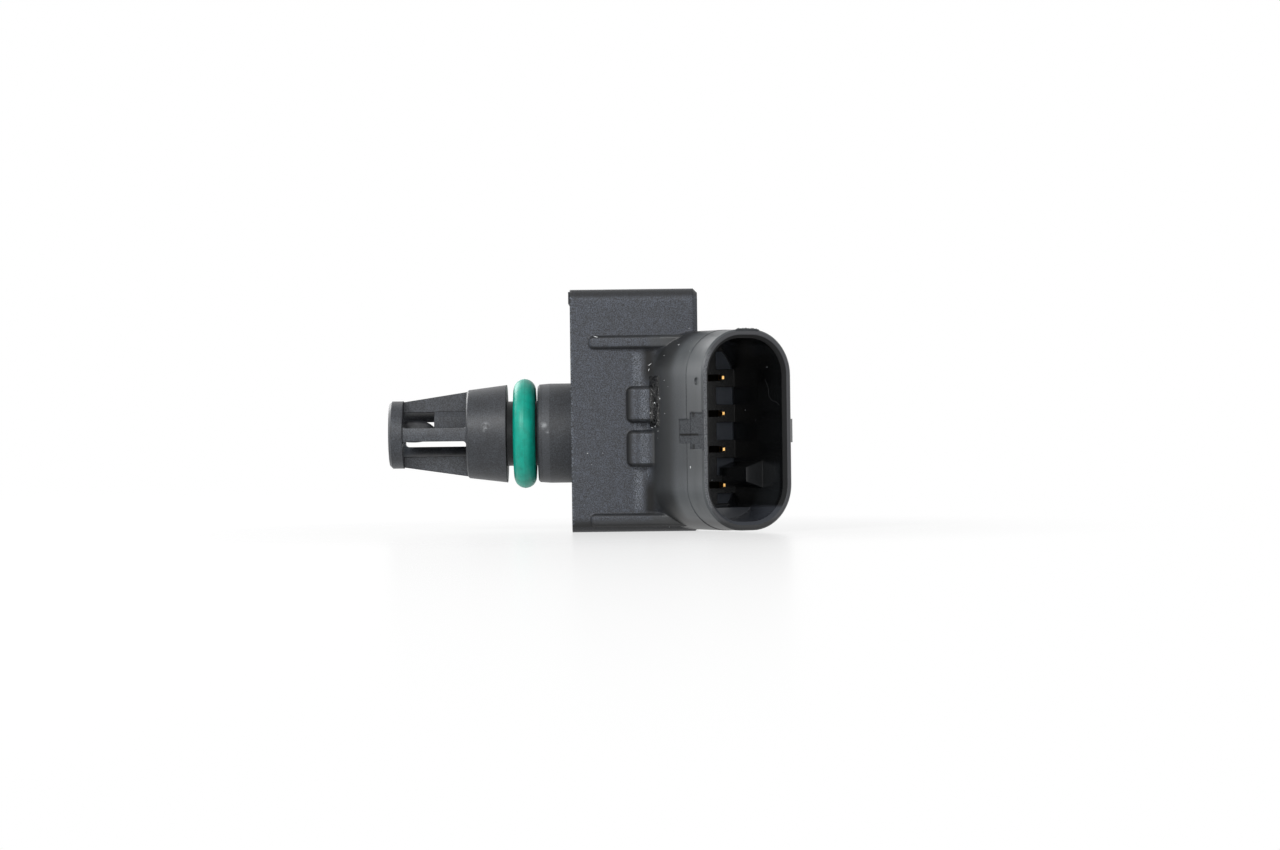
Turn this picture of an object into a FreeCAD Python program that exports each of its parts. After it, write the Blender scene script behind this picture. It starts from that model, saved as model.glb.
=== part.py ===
import FreeCAD, Part
import math
import os

from FreeCAD import Matrix, Placement, Vector

# A manifold absolute pressure and temperature sensor, in millimetres.
# The origin is the centre of the probe on the mounting face. The probe points to -X,
# +Z is up, and the connector faces the viewer and to the right, towards -Y and +X.

# Body box: the moulded case round the sensor's chamber
body_depth = 15.05
body_front = 10.5
body_rear = 10.5
body_below_shroud = 0.2
body_above_shroud = 5.1
body_edge_radius = 1.45
body_back_chamfer = 0.5
wall_side = 2.6
wall_bottom = 2.55
wall_top = 3.05
wall_back = 2.05
ledge_width = 1.2
recess_radius = 1.5
foot_height = 0.2
foot_width = 1.4
foot_inset = 0.25

# Connector shroud: an oblong tube that leaves the body's front corner at an angle
socket_angle = 30.0
socket_past_back = 5.53
socket_past_front = 7.93
shroud_half_width = 6.1
shroud_half_height = 11.7
shroud_up = 0.15
shroud_flat = 1.5
shroud_wall = 1.05
socket_draft = 0.5
shroud_root_radius = 2.0
rim_lead_in = 0.4
rim_outer_chamfer = 0.22
floor_thickness = 2.45
parting_line_depth = 3.6
parting_step = 0.05
key_below_centre = 5.1
key_base_width = 3.29
key_tip_width = 1.63
key_height = 2.46
key_top_depth = 4.6
ledge_height = 1.55
ledge_top_depth = 5.5
pocket_depth = 0.6
pocket_inner_edge = 2.0
pocket_height = 2.1
end_pocket_top_height = 2.1
end_pocket_bottom_height = 1.2
latch_width = 2.75
latch_height = 1.25
latch_start_depth = 0.6
latch_crest_depth = 1.9
latch_crest_length = 1.0
latch_back_slope = 0.3
inset_depth = 0.12
upper_inset_top = 0.1
upper_inset_bottom = 2.9
upper_inset_low = -2.0
upper_inset_high = 2.2
lower_inset_top = 2.1
lower_inset_bottom = 5.3
lower_inset_low = -1.35
lower_inset_high = 1.45
inset_groove_width = 0.22
inset_groove_low = -0.54
inset_groove_end = 0.3
dimple_radius = 0.42
dimple_up = 5.82
dimple_from_mouth = 1.35

# Terminals
terminal_count = 4
terminal_pitch = 4.2
terminal_width = 0.8
terminal_thickness = 0.63
terminal_above_floor = 4.9
terminal_taper = 1.1
terminal_tip_share = 0.45
terminal_bend_radius = 0.6
terminal_end_y = -2.05
terminal_wing_width = 1.5
terminal_wing_length = 1.2
terminal_wing_start = 0.6

# Ribs, pads and lugs on the outside of the body
rib_width = 1.5
rib_inset_from_shroud_end = 0.45
rib_start = 2.2
rib_start_height = 0.45
rib_shoulder_from_back = 4.45
rib_shoulder_height = 1.1
rib_end_height = 2.2
rib_end_radius = 0.55
rib_ridge_width = 0.25
outside_overlap = 0.35
pad_start = 6.54
pad_length = 4.0
pad_height = 1.45
pad_tall = 4.2
pad_gap = 1.0
pad_centre = 0.7
pad_flank_radius = 1.25
pad_edge_width = 0.35
pad_corner = 0.7
rear_web_thickness = 1.5
rear_web_spacing = 7.15
rear_web_reach = 9.9
rear_web_overlap = 0.5
rear_web_inset = 0.3
lug_thickness = 9.0
lug_radius = 8.0
screw_offset = 9.5
lug_web_thickness = 1.5
lug_web_spacing = 5.25
lug_web_reach = 3.3
lug_web_rise = 4.0
lug_web_overlap = 1.0

# Mounting bushing
bushing_radius = 4.0
screw_hole_radius = 2.65

# Pressure port: base plate, spigot with the seal groove, and the probe cage
glue_gap = 0.6
glue_below_face = 0.25
plate_thickness = 1.8
plate_radius = 0.9
spigot_radius = 6.0
collar_radius = 5.9
inner_collar_length = 4.15
lead_in_length = 1.45
collar_edge = 0.2
groove_radius = 3.9
groove_length = 3.75
outer_collar_length = 4.8
outer_collar_radius = 5.325
cage_length = 7.7
cage_root_radius = 5.1
cage_tip_radius = 3.95
tip_ring_length = 1.7
tip_ring_radius = 4.07
tip_bevel = 0.35
bore_radius = 2.67
front_rib_width = 1.65
rear_slot_width = 3.0
window_corner = 0.4
guide_length = 4.0
guide_half_width = 1.2
guide_bottom = 0.05
guide_top = 2.75
guide_bevel = 0.65
inner_collar_rise = 1.2
cell_outer_radius = 5.5
cell_wall = 1.4

# Seal ring
ring_section = 1.28
ring_outer_radius = 6.4
ring_from_face = 5.6
ring_sides = 14

# Pressure cell and circuit board
seal_thickness = 0.2
seal_margin = 0.2
cell_height = 2.0
board_thickness = 0.8
board_clearance = 0.3
post_size = 1.8
pedestal_size = 1.8
pedestal_height = 0.6
die_size = 1.5
die_height = 0.4
die_pit_size = 1.0
die_pit_depth = 0.3
die_pit_narrowing = 0.2
chip_size = 1.5
chip_height = 0.35
cell_offset = 1.15
gel_height = 1.7
wire_count = 4
wire_pitch = 0.4
wire_thickness = 0.08
wire_loop = 0.3
wire_half_span = 0.7
wire_foot = 0.25
capacitor_count = 4
capacitor_length = 1.6
capacitor_width = 0.8
capacitor_height = 0.8
capacitor_pitch = 2.6
capacitor_from_top = 3.5
capacitor_edge = 0.08

# Thermistor
bead_past_ring = 0.75
bead_radius = 1.25
bead_steps = 3
bead_up = 0.4
lead_radius = 0.16
lead_spacing = 0.6
lead_past_board = 0.4

# How far a cutting shape stands past the face that it cuts
overshoot = 1.0

# Two places nearer to each other than this are the same place
close = 1e-4

X_AXIS = Vector(1, 0, 0)
Y_AXIS = Vector(0, 1, 0)
Z_AXIS = Vector(0, 0, 1)

# Places worked out from the sizes above
body_bottom = shroud_half_height - shroud_up + body_below_shroud
body_top = shroud_half_height + shroud_up + body_above_shroud
chamber_bottom = -(body_bottom - wall_bottom)
chamber_top = body_top - wall_top
chamber_front = -(body_front - wall_side)
chamber_rear = body_rear - wall_side
chamber_back = body_depth - wall_back
turn = math.radians(socket_angle)
mouth_centre = Vector(body_depth + socket_past_back, -(body_front + socket_past_front), 0)
outward = Vector(math.sin(turn), -math.cos(turn), 0)
across = Vector(math.cos(turn), math.sin(turn), 0)
shroud_depth = (socket_past_front + shroud_half_width * math.sin(turn)) / math.cos(turn)
socket_depth = shroud_depth - floor_thickness
tip_depth = socket_depth - terminal_above_floor
cavity_half_width = shroud_half_width - shroud_wall
cavity_half_height = shroud_half_height - shroud_wall
shroud_corner = shroud_half_width - shroud_flat / 2
cavity_corner = shroud_corner - shroud_wall
ledge_top = shroud_up + ledge_height - cavity_half_height
cell_inner_radius = cell_outer_radius - cell_wall
seal_start = plate_thickness + inner_collar_rise
cell_start = seal_start + seal_thickness
board_start = cell_start + cell_height
board_end = board_start + board_thickness
inner_collar_end = -inner_collar_length
outer_collar_start = inner_collar_end - groove_length
cage_start = outer_collar_start - outer_collar_length
tip_ring_start = cage_start - cage_length
tip_end = tip_ring_start - tip_ring_length
screw_y = body_rear + screw_offset
capacitor_up = chamber_top - capacitor_from_top

# The socket's own frame: X across, Y up, Z outwards, with its origin at the mouth's centre
socket_matrix = Matrix(across.x, 0, outward.x, mouth_centre.x,
                       across.y, 0, outward.y, mouth_centre.y,
                       0, 1, 0, mouth_centre.z,
                       0, 0, 0, 1)
socket_place = Placement(socket_matrix)


def block(x_range, y_range, z_range):
    """A box between two values along each axis."""
    low = Vector(x_range[0], y_range[0], z_range[0])
    sizes = [x_range[1] - x_range[0], y_range[1] - y_range[0], z_range[1] - z_range[0]]
    return Part.makeBox(sizes[0], sizes[1], sizes[2], low)


def prism(points, direction):
    """The solid swept by a closed polygon of points along a direction."""
    corners = [Vector(*p) for p in points]
    return Part.Face(Part.makePolygon(corners + corners[:1])).extrude(direction)


def edges_along(shape, axis, test=None):
    """The straight edges of a shape that run along an axis and whose middle passes a test."""
    found = []
    for edge in shape.Edges:
        if edge.Curve.TypeId != "Part::GeomLine":
            continue
        if abs(abs(edge.Curve.Direction.dot(axis)) - 1) > close:
            continue
        if test is None or test(edge.CenterOfMass):
            found.append(edge)
    return found


def rounded_slab(y_range, z_range, x_range, radius):
    """A box along X with its four long edges rounded."""
    slab = block(x_range, y_range, z_range)
    return slab.makeFillet(radius, edges_along(slab, X_AXIS))


def oblong(half_width, half_height, corner, top_depth, bottom_depth):
    """A prism with rounded corners in the socket's frame, between two depths below the mouth."""
    low = Vector(-half_width, shroud_up - half_height, -bottom_depth)
    slab = Part.makeBox(2 * half_width, 2 * half_height, bottom_depth - top_depth, low)
    return slab.makeFillet(corner, edges_along(slab, Z_AXIS))


def oblong_wire(half_width, half_height, corner, depth):
    """The outline of such a prism at one depth below the mouth."""
    slab = oblong(half_width, half_height, corner, depth, depth + overshoot)
    top = [f for f in slab.Faces if abs(f.CenterOfMass.z + depth) < close]
    return top[0].OuterWire


def drafted(half_width, half_height, corner, top_depth, bottom_depth, draft):
    """Such a prism whose sides have drawn in by the draft at its bottom end."""
    top = oblong_wire(half_width, half_height, corner, top_depth)
    bottom = oblong_wire(half_width - draft, half_height - draft, corner - draft, bottom_depth)
    return Part.makeLoft([top, bottom], True, True)


def placed(shape):
    """A copy of a shape made in the socket's own frame, put in the socket's place."""
    copy = shape.copy()
    copy.Placement = socket_place.multiply(copy.Placement)
    return copy


def turned(points):
    """The solid of revolution about X of a list of (x, radius) points."""
    corners = [Vector(x, 0, r) for x, r in points]
    outline = Part.makePolygon(corners + corners[:1])
    return Part.Face(outline).revolve(Vector(0, 0, 0), X_AXIS, 360)


def rod(radius, x_start, x_end, y=0.0, z=0.0):
    """A cylinder along X."""
    return Part.makeCylinder(radius, x_end - x_start, Vector(x_start, y, z), X_AXIS)


def terminal_heights():
    """The height of each terminal above the probe's axis, from the top one down."""
    first = terminal_pitch * (terminal_count - 1) / 2
    return [first - terminal_pitch * i for i in range(terminal_count)]


def body_box():
    """The plain case with its long edges rounded and a narrow bevel round its back."""
    case = rounded_slab([-body_front, body_rear], [-body_bottom, body_top], [0, body_depth],
                        body_edge_radius)
    back = [e for e in case.Edges if abs(e.BoundBox.XMin - body_depth) < close]
    return case.makeChamfer(body_back_chamfer, back)


def shroud_outside():
    """The outside of the shroud, a hair slimmer on the mouth's side of the parting line."""
    slim = oblong(shroud_half_width - parting_step, shroud_half_height - parting_step,
                  shroud_corner - parting_step, 0, parting_line_depth)
    rim = [e for e in slim.Edges if abs(e.BoundBox.ZMin) < close and abs(e.BoundBox.ZMax) < close]
    slim = slim.makeChamfer(rim_outer_chamfer, rim)
    full = oblong(shroud_half_width, shroud_half_height, shroud_corner,
                  parting_line_depth, shroud_depth)
    return slim, full


def latch_lug():
    """The wedge on the shroud's right side that the plug's latch snaps over."""
    side = shroud_half_width - parting_step * 2
    top = shroud_half_width + latch_height
    crest_end = latch_crest_depth + latch_crest_length
    outline = [(side, -latch_width / 2, -latch_start_depth),
               (top, -latch_width / 2, -latch_crest_depth),
               (top, -latch_width / 2, -crest_end),
               (side, -latch_width / 2, -crest_end - latch_back_slope)]
    return prism(outline, Vector(0, latch_width, 0))


def socket_cavity():
    """The hollow of the socket with its lead-in, less the coding key and the bottom ledge."""
    hollow = drafted(cavity_half_width, cavity_half_height, cavity_corner,
                     rim_lead_in, socket_depth, socket_draft)
    lead_in = drafted(cavity_half_width + rim_lead_in, cavity_half_height + rim_lead_in,
                      cavity_corner + rim_lead_in, 0, rim_lead_in, rim_lead_in)
    hollow = hollow.fuse([lead_in, floor_pockets()])
    key = key_prism()
    ledge = Part.makeBox(2 * shroud_half_width, ledge_top + shroud_half_height,
                         shroud_depth - ledge_top_depth,
                         Vector(-shroud_half_width, -shroud_half_height, -shroud_depth))
    return hollow.cut(key).cut(ledge)


def floor_pockets():
    """The shallow pockets between the terminals, in two rows beside the middle bar."""
    heights = terminal_heights()
    spans = []
    for upper, lower in zip(heights[:-1], heights[1:]):
        middle = (upper + lower) / 2
        spans.append((middle - pocket_height / 2, middle + pocket_height / 2))
    gap = (terminal_pitch - pocket_height) / 2
    spans.append((heights[0] + gap, heights[0] + gap + end_pocket_top_height))
    spans.append((heights[-1] - gap - end_pocket_bottom_height, heights[-1] - gap))
    floor = oblong(cavity_half_width - socket_draft, cavity_half_height - socket_draft,
                   cavity_corner - socket_draft,
                   socket_depth - pocket_depth, socket_depth + pocket_depth)
    rows = []
    for low, high in spans:
        for side in (-1, 1):
            start = pocket_inner_edge if side > 0 else -cavity_half_width
            rows.append(Part.makeBox(cavity_half_width - pocket_inner_edge, high - low,
                                     2 * pocket_depth,
                                     Vector(start, low, -socket_depth - pocket_depth)))
    return rows[0].fuse(rows[1:]).common(floor)


def key_prism():
    """The coding key: a rib with a trapezoid section on the socket's right wall."""
    wall = cavity_half_width
    root = wall + shroud_wall / 2
    tip = wall - key_height
    slope = (key_base_width - key_tip_width) / 2 / key_height
    root_half = key_base_width / 2 + slope * (root - wall)
    outline = [(root, -key_below_centre - root_half, -shroud_depth),
               (root, -key_below_centre + root_half, -shroud_depth),
               (tip, -key_below_centre + key_tip_width / 2, -shroud_depth),
               (tip, -key_below_centre - key_tip_width / 2, -shroud_depth)]
    return prism(outline, Vector(0, 0, shroud_depth - key_top_depth))


def side_marks():
    """The shallow insets and the dimple that the mould leaves on the shroud's left wall."""
    skin = shroud_half_width + overshoot
    floor = shroud_half_width - inset_depth
    cuts = []
    cuts.append(block([-skin, -(floor - parting_step)], [upper_inset_low, upper_inset_high],
                      [-upper_inset_bottom, -upper_inset_top]))
    cuts.append(block([-skin, -floor], [lower_inset_low, lower_inset_high],
                      [-lower_inset_bottom, -lower_inset_top]))
    cuts.append(block([-skin, -(floor - inset_depth)],
                      [inset_groove_low, inset_groove_low + inset_groove_width],
                      [inset_groove_end - lower_inset_bottom, -upper_inset_top - inset_groove_end]))
    dimple = Part.makeCylinder(dimple_radius, overshoot + inset_depth * 2,
                               Vector(-skin, dimple_up, -dimple_from_mouth), X_AXIS)
    return cuts + [dimple]


def front_rib(low):
    """A rib on the front face that climbs slowly into the shroud."""
    foot = -body_front + outside_overlap
    shoulder = body_depth - rib_shoulder_from_back
    outline = [(rib_start, foot, low),
               (rib_start, -body_front - rib_start_height, low),
               (shoulder, -body_front - rib_shoulder_height, low),
               (body_depth, -body_front - rib_end_height, low),
               (body_depth, foot, low)]
    rib = prism(outline, Vector(0, 0, rib_width))
    end = edges_along(rib, Y_AXIS, lambda c: abs(c.x - rib_start) < close)
    rib = rib.makeFillet(rib_end_radius, end)
    ridge = [e for e in rib.Edges if e.BoundBox.YMax < -body_front - rib_start_height + close
             and e.BoundBox.XLength > 0.1]
    return rib.makeChamfer(rib_ridge_width, ridge)


def front_pad(low):
    """A raised pad beside the shroud, with a large round on its left flank."""
    top = -body_front - pad_height
    foot = -body_front + outside_overlap
    bend = pad_flank_radius
    a = Vector(pad_start, foot, low)
    b = Vector(pad_start, top + bend, low)
    mid = Vector(pad_start + bend * (1 - math.sqrt(0.5)), top + bend * (1 - math.sqrt(0.5)), low)
    c = Vector(pad_start + bend, top, low)
    d = Vector(pad_start + pad_length, top, low)
    e = Vector(pad_start + pad_length, foot, low)
    edges = [Part.LineSegment(a, b).toShape(), Part.Arc(b, mid, c).toShape(),
             Part.LineSegment(c, d).toShape(), Part.LineSegment(d, e).toShape(),
             Part.LineSegment(e, a).toShape()]
    pad = Part.Face(Part.Wire(edges)).extrude(Vector(0, 0, pad_tall))
    corners = []
    for edge in pad.Edges:
        box = edge.BoundBox
        flat = box.ZLength < close
        front = box.YMax < foot + close and box.XMax < d.x + close
        if flat and front and not (box.XLength < close and box.XMin > pad_start + bend):
            if not (box.YLength < close and abs(box.YMin - foot) < close):
                corners.append(edge)
    pad = pad.makeChamfer(pad_edge_width, corners)
    outline = block([pad_start, d.x], [top - overshoot, foot], [low, low + pad_tall])
    left = edges_along(outline, Y_AXIS, lambda c: abs(c.x - pad_start) < close)
    return pad.common(outline.makeFillet(pad_corner, left))


def rear_webs():
    """Webs that carry the part of the shroud that stands out behind the body."""
    webs = []
    for middle in (-rear_web_spacing, 0, rear_web_spacing):
        low = middle - rear_web_thickness / 2
        inner = mouth_centre - outward * (shroud_depth - rear_web_overlap)
        far = inner + across * (shroud_half_width - rear_web_inset)
        start = inner - across * (shroud_half_width / 2)
        inside = body_depth - wall_back / 2
        outline = [(start.x, start.y, low), (far.x, far.y, low),
                   (body_depth, start.y + rear_web_reach, low),
                   (inside, start.y + rear_web_reach, low)]
        webs.append(prism(outline, Vector(0, 0, rear_web_thickness)))
    return webs


def screw_lug():
    """The lug behind the body, with two webs that stiffen it."""
    inside = body_rear - wall_side / 2
    plate = block([0, lug_thickness], [inside, screw_y], [-lug_radius, lug_radius])
    lug = plate.fuse(rod(lug_radius, 0, lug_thickness, screw_y))
    webs = []
    for side in (-1, 1):
        low = side * lug_web_spacing - lug_web_thickness / 2
        outline = [(lug_thickness - lug_web_overlap, inside, low),
                   (lug_thickness - lug_web_overlap, body_rear + lug_web_reach, low),
                   (lug_thickness, body_rear + lug_web_reach, low),
                   (lug_thickness + lug_web_rise, body_rear, low),
                   (lug_thickness + lug_web_rise, inside, low)]
        webs.append(prism(outline, Vector(0, 0, lug_web_thickness)))
    return lug.fuse(webs).removeSplitter()


def chamber():
    """The hollow for the cell and board, with a stepped mouth for the port's base plate."""
    hollow = block([-overshoot, chamber_back], [chamber_front, chamber_rear],
                   [chamber_bottom, chamber_top])
    recess = rounded_slab([chamber_front - ledge_width, chamber_rear + ledge_width],
                          [chamber_bottom - ledge_width, chamber_top + ledge_width],
                          [-overshoot, plate_thickness], recess_radius)
    posts = []
    for y in (chamber_front, chamber_rear - post_size):
        for z in (chamber_bottom, chamber_top - post_size):
            posts.append(block([board_end, chamber_back + overshoot], [y, y + post_size],
                               [z, z + post_size]))
    return hollow.cut(posts[0].fuse(posts[1:])).fuse(recess)


def housing():
    """The case, the connector shroud and everything moulded on them, as one piece."""
    slim, full = shroud_outside()
    core = body_box().fuse([placed(full), root_fillet()])
    rib_reach = shroud_half_height - rib_inset_from_shroud_end
    parts = [placed(slim), placed(latch_lug()), screw_lug()]
    parts += [front_rib(shroud_up + rib_reach - rib_width), front_rib(shroud_up - rib_reach)]
    pad_step = pad_tall + pad_gap
    parts += [front_pad(pad_centre + side * pad_step / 2 - pad_tall / 2) for side in (1, -1)]
    parts += rear_webs()
    foot_top = body_top - foot_inset
    parts.append(block([-foot_height, outside_overlap],
                       [-body_front + body_edge_radius, body_rear - body_edge_radius],
                       [foot_top - foot_width, foot_top]))
    shell = core.fuse(parts).removeSplitter()
    shell = shell.cut(placed(socket_cavity()))
    shell = shell.cut([placed(mark) for mark in side_marks()])
    shell = shell.cut(chamber())
    sleeve_seat = rod(bushing_radius, -overshoot, lug_thickness + overshoot, screw_y)
    shell = shell.cut([sleeve_seat] + [terminal(z) for z in terminal_heights()])
    return biggest_solid(shell)


def root_fillet():
    """The concave round between the body's front face and the shroud, down to the ribs."""
    large = shroud_half_height * 3
    slab = block([-large, 2 * large], [-body_front, 0], [-large, large])
    tube_outside = oblong(shroud_half_width, shroud_half_height, shroud_corner,
                          parting_line_depth, shroud_depth + floor_thickness)
    joined = slab.fuse(placed(tube_outside)).removeSplitter()
    loop = []
    for edge in joined.Edges:
        box = edge.BoundBox
        on_face = abs(box.YMin + body_front) < close and abs(box.YMax + body_front) < close
        if on_face and box.ZLength < large and box.XMin > 0 and box.XMax < large:
            loop.append(edge)
    rounded = joined.makeFillet(shroud_root_radius, loop)
    reach = shroud_half_height - rib_inset_from_shroud_end - rib_width / 2
    left_part = block([rib_start, body_depth - wall_back - overshoot],
                      [-body_front - shroud_root_radius * 2, -body_front + wall_side / 2],
                      [shroud_up - reach, shroud_up + reach])
    return rounded.common(left_part)


def biggest_solid(shape):
    """The largest solid of a shape, which is the piece itself."""
    return max(shape.Solids, key=lambda s: s.Volume)


def mounting_bushing():
    """The metal sleeve that takes the screw's clamping load."""
    sleeve = rod(bushing_radius, 0, lug_thickness, screw_y)
    return sleeve.cut(rod(screw_hole_radius, -overshoot, lug_thickness + overshoot, screw_y))


def terminal(height):
    """One terminal: a tapered blade in the socket, a moulded-in shank with wings, and a bend
    that brings its end square to the back of the circuit board."""
    half = terminal_thickness / 2
    tip = mouth_centre - outward * tip_depth
    run = (terminal_end_y - tip.y) / -outward.y
    corner = tip - outward * run
    inward = -outward
    side = across
    # the inside of the bend is the side towards the probe
    cut_back = math.tan(math.radians(90 - socket_angle) / 2)
    r_in = terminal_bend_radius
    r_mid = r_in + half
    leave = corner - inward * (r_mid * cut_back)
    arrive = corner - X_AXIS * (r_mid * cut_back)
    centre = arrive - Y_AXIS * r_mid
    end = Vector(board_end, terminal_end_y, 0)

    def arc(radius):
        start = centre + (leave - centre).normalize() * radius
        stop = centre + (arrive - centre).normalize() * radius
        halfway = ((start - centre) + (stop - centre)).normalize() * radius
        return start, centre + halfway, stop

    outer = arc(r_mid + half)
    inner = arc(r_mid - half)
    far = half * (1 - terminal_tip_share)
    shoulder = tip + inward * terminal_taper
    points = [tip - side * (half - far), tip + side * (half - far),
              shoulder + side * half, outer[0]]
    edges = [Part.LineSegment(a, b).toShape() for a, b in zip(points[:-1], points[1:])]
    edges.append(Part.Arc(*outer).toShape())
    tail = [outer[2], end + Y_AXIS * half, end - Y_AXIS * half, inner[2]]
    edges += [Part.LineSegment(a, b).toShape() for a, b in zip(tail[:-1], tail[1:])]
    edges.append(Part.Arc(inner[2], inner[1], inner[0]).toShape())
    edges.append(Part.LineSegment(inner[0], shoulder - side * half).toShape())
    edges.append(Part.LineSegment(shoulder - side * half, tip - side * (half - far)).toShape())
    outline = Part.Face(Part.Wire(edges))
    low = height - terminal_width / 2
    outline.translate(Vector(0, 0, low))
    blade = outline.extrude(Vector(0, 0, terminal_width))
    trim = terminal_width / 2 * (1 - terminal_tip_share)
    for sign in (-1, 1):
        edge_z = height + sign * terminal_width / 2
        down = Z_AXIS * (-sign * trim)
        face = [tip + outward, tip + outward + down, tip + down, shoulder]
        face = [Vector(p.x, p.y, p.z + edge_z) for p in face]
        wedge = Part.Face(Part.makePolygon(face + face[:1])).extrude(side * terminal_width)
        wedge.translate(side * (-terminal_width / 2))
        blade = blade.cut(wedge)
    wing = Part.makeBox(terminal_thickness, terminal_wing_width, terminal_wing_length,
                        Vector(-half, height - terminal_wing_width / 2,
                               -socket_depth - terminal_wing_start - terminal_wing_length))
    return blade.fuse(placed(wing)).removeSplitter()


def pressure_port():
    """The base plate, the spigot and the probe cage, moulded as one piece."""
    gap = ledge_width - glue_gap
    plate = rounded_slab([chamber_front - gap, chamber_rear + gap],
                         [chamber_bottom - gap, chamber_top + gap],
                         [0, plate_thickness], plate_radius)
    lead_in_end = inner_collar_end + lead_in_length
    spigot = turned([(plate_thickness / 2, 0), (plate_thickness / 2, spigot_radius),
                     (lead_in_end, spigot_radius),
                     (inner_collar_end + collar_edge, collar_radius),
                     (inner_collar_end, collar_radius - collar_edge),
                     (inner_collar_end, groove_radius),
                     (outer_collar_start, groove_radius),
                     (outer_collar_start, collar_radius),
                     (cage_start + collar_edge, outer_collar_radius),
                     (cage_start, outer_collar_radius - collar_edge),
                     (cage_start, 0)])
    cage = turned([(cage_start, 0), (cage_start, cage_root_radius),
                   (tip_ring_start, cage_tip_radius), (tip_ring_start, 0)])
    rim = turned([(tip_ring_start, 0), (tip_ring_start, tip_ring_radius),
                  (tip_end + tip_bevel, tip_ring_radius),
                  (tip_end, tip_ring_radius - tip_bevel), (tip_end, 0)])
    cage = cage.cut(cage_windows())
    collar = rod(cell_outer_radius, plate_thickness / 2, seal_start)
    port = plate.fuse([spigot, cage, rim, collar]).removeSplitter()
    port = port.cut(rod(cell_inner_radius, plate_thickness, seal_start + overshoot))
    port = port.cut(rod(bore_radius, tip_end - overshoot, plate_thickness + overshoot))
    port = port.fuse(lead_guide()).removeSplitter()
    return port.cut([lead_wire(-1), lead_wire(1)])


def cage_windows():
    """The openings of the probe cage: two in front beside the rib, and the rear slot."""
    reach = cage_root_radius + overshoot
    span = [tip_ring_start, cage_start]
    cuts = []
    for side in (-1, 1):
        edge = front_rib_width / 2
        z_range = [edge, reach] if side > 0 else [-reach, -edge]
        window = block(span, [-reach, 0], z_range)
        beside_rib = edges_along(window, Y_AXIS, lambda c: abs(abs(c.z) - edge) < close)
        cuts.append(window.makeFillet(window_corner, beside_rib))
    slot = block(span, [0, reach], [-rear_slot_width / 2, rear_slot_width / 2])
    cuts.append(slot.makeFillet(window_corner, edges_along(slot, Y_AXIS)))
    return cuts


def lead_guide():
    """The bevelled bar that carries the thermistor's leads along the top of the bore."""
    start = cage_start - guide_length
    half = guide_half_width
    outline = [(start, -half, guide_bottom), (start, half, guide_bottom),
               (start, half, guide_top), (start, -half + guide_bevel, guide_top),
               (start, -half, guide_top - guide_bevel)]
    return prism(outline, Vector(plate_thickness - start, 0, 0))


def lead_wire(side):
    """One of the thermistor's two leads, from the bead's tail to past the circuit board."""
    return rod(lead_radius, cage_start - guide_length, board_end + lead_past_board,
               side * lead_spacing / 2, bead_up)


def thermistor_bead():
    """The drop of epoxy over the thermistor: a ball that tapers on to its leads."""
    nose = tip_ring_start - bead_past_ring
    middle = nose + bead_radius
    tail = cage_start - guide_length
    tail_radius = lead_spacing / 2 + lead_radius
    slope = math.asin((bead_radius - tail_radius) / (tail - middle))
    outline = [(tail, 0), (nose, 0)]
    for i in range(1, bead_steps + 1):
        angle = (math.pi / 2 + slope) * i / bead_steps
        outline.append((middle - bead_radius * math.cos(angle), bead_radius * math.sin(angle)))
    outline.append((tail, tail_radius))
    drop = turned(outline)
    drop.translate(Vector(0, 0, bead_up))
    return drop


def o_ring():
    """The seal ring: a many-sided round section, flattened where it grips its groove."""
    centre = ring_outer_radius - ring_section
    corners = []
    for i in range(ring_sides):
        angle = 2 * math.pi * (i + 0.5) / ring_sides
        radius = centre + ring_section * math.cos(angle)
        corners.append((-ring_from_face + ring_section * math.sin(angle),
                        max(radius, groove_radius)))
    return turned(corners)


def port_adhesive():
    """The glue that fills the gap round the base plate, a little below the mounting face."""
    gap = ledge_width - glue_gap
    outer = rounded_slab([chamber_front - ledge_width, chamber_rear + ledge_width],
                         [chamber_bottom - ledge_width, chamber_top + ledge_width],
                         [glue_below_face, plate_thickness], recess_radius)
    inner = rounded_slab([chamber_front - gap, chamber_rear + gap],
                         [chamber_bottom - gap, chamber_top + gap],
                         [-overshoot, plate_thickness + overshoot], plate_radius)
    return outer.cut(inner)


def cell_seal():
    """The ring of glue between the port's inner collar and the cell's frame."""
    return tube(cell_outer_radius - seal_margin, cell_inner_radius + seal_margin,
                seal_start, cell_start)


def tube(outer, inner, x_start, x_end):
    """A plain ring along X."""
    return rod(outer, x_start, x_end).cut(rod(inner, x_start - overshoot, x_end + overshoot))


def cell_frame():
    """The ring that holds the gel over the pressure cell."""
    return tube(cell_outer_radius, cell_inner_radius, cell_start, board_start)


def square(size, height, y, z, x_back):
    """A square plate that stands on the plane x_back and faces the port."""
    half = size / 2
    return block([x_back - height, x_back], [y - half, y + half], [z - half, z + half])


def glass_pedestal():
    """The glass that carries the die."""
    return square(pedestal_size, pedestal_height, -cell_offset, -cell_offset, board_start)


def pressure_die():
    """The silicon die, with the pit behind its membrane."""
    back = board_start - pedestal_height
    die = square(die_size, die_height, -cell_offset, -cell_offset, back)
    wide = die_pit_size / 2
    narrow = wide - die_pit_narrowing
    low = Part.makePolygon(square_loop(back, wide))
    high = Part.makePolygon(square_loop(back - die_pit_depth, narrow))
    return die.cut(Part.makeLoft([low, high], True))


def square_loop(x, half):
    """The closed corners of a square round the die's centre."""
    signs = [(-1, -1), (1, -1), (1, 1), (-1, 1), (-1, -1)]
    return [Vector(x, -cell_offset + a * half, -cell_offset + b * half) for a, b in signs]


def signal_chip():
    """The chip that amplifies the die's signal."""
    return square(chip_size, chip_height, cell_offset, -cell_offset, board_start)


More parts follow.
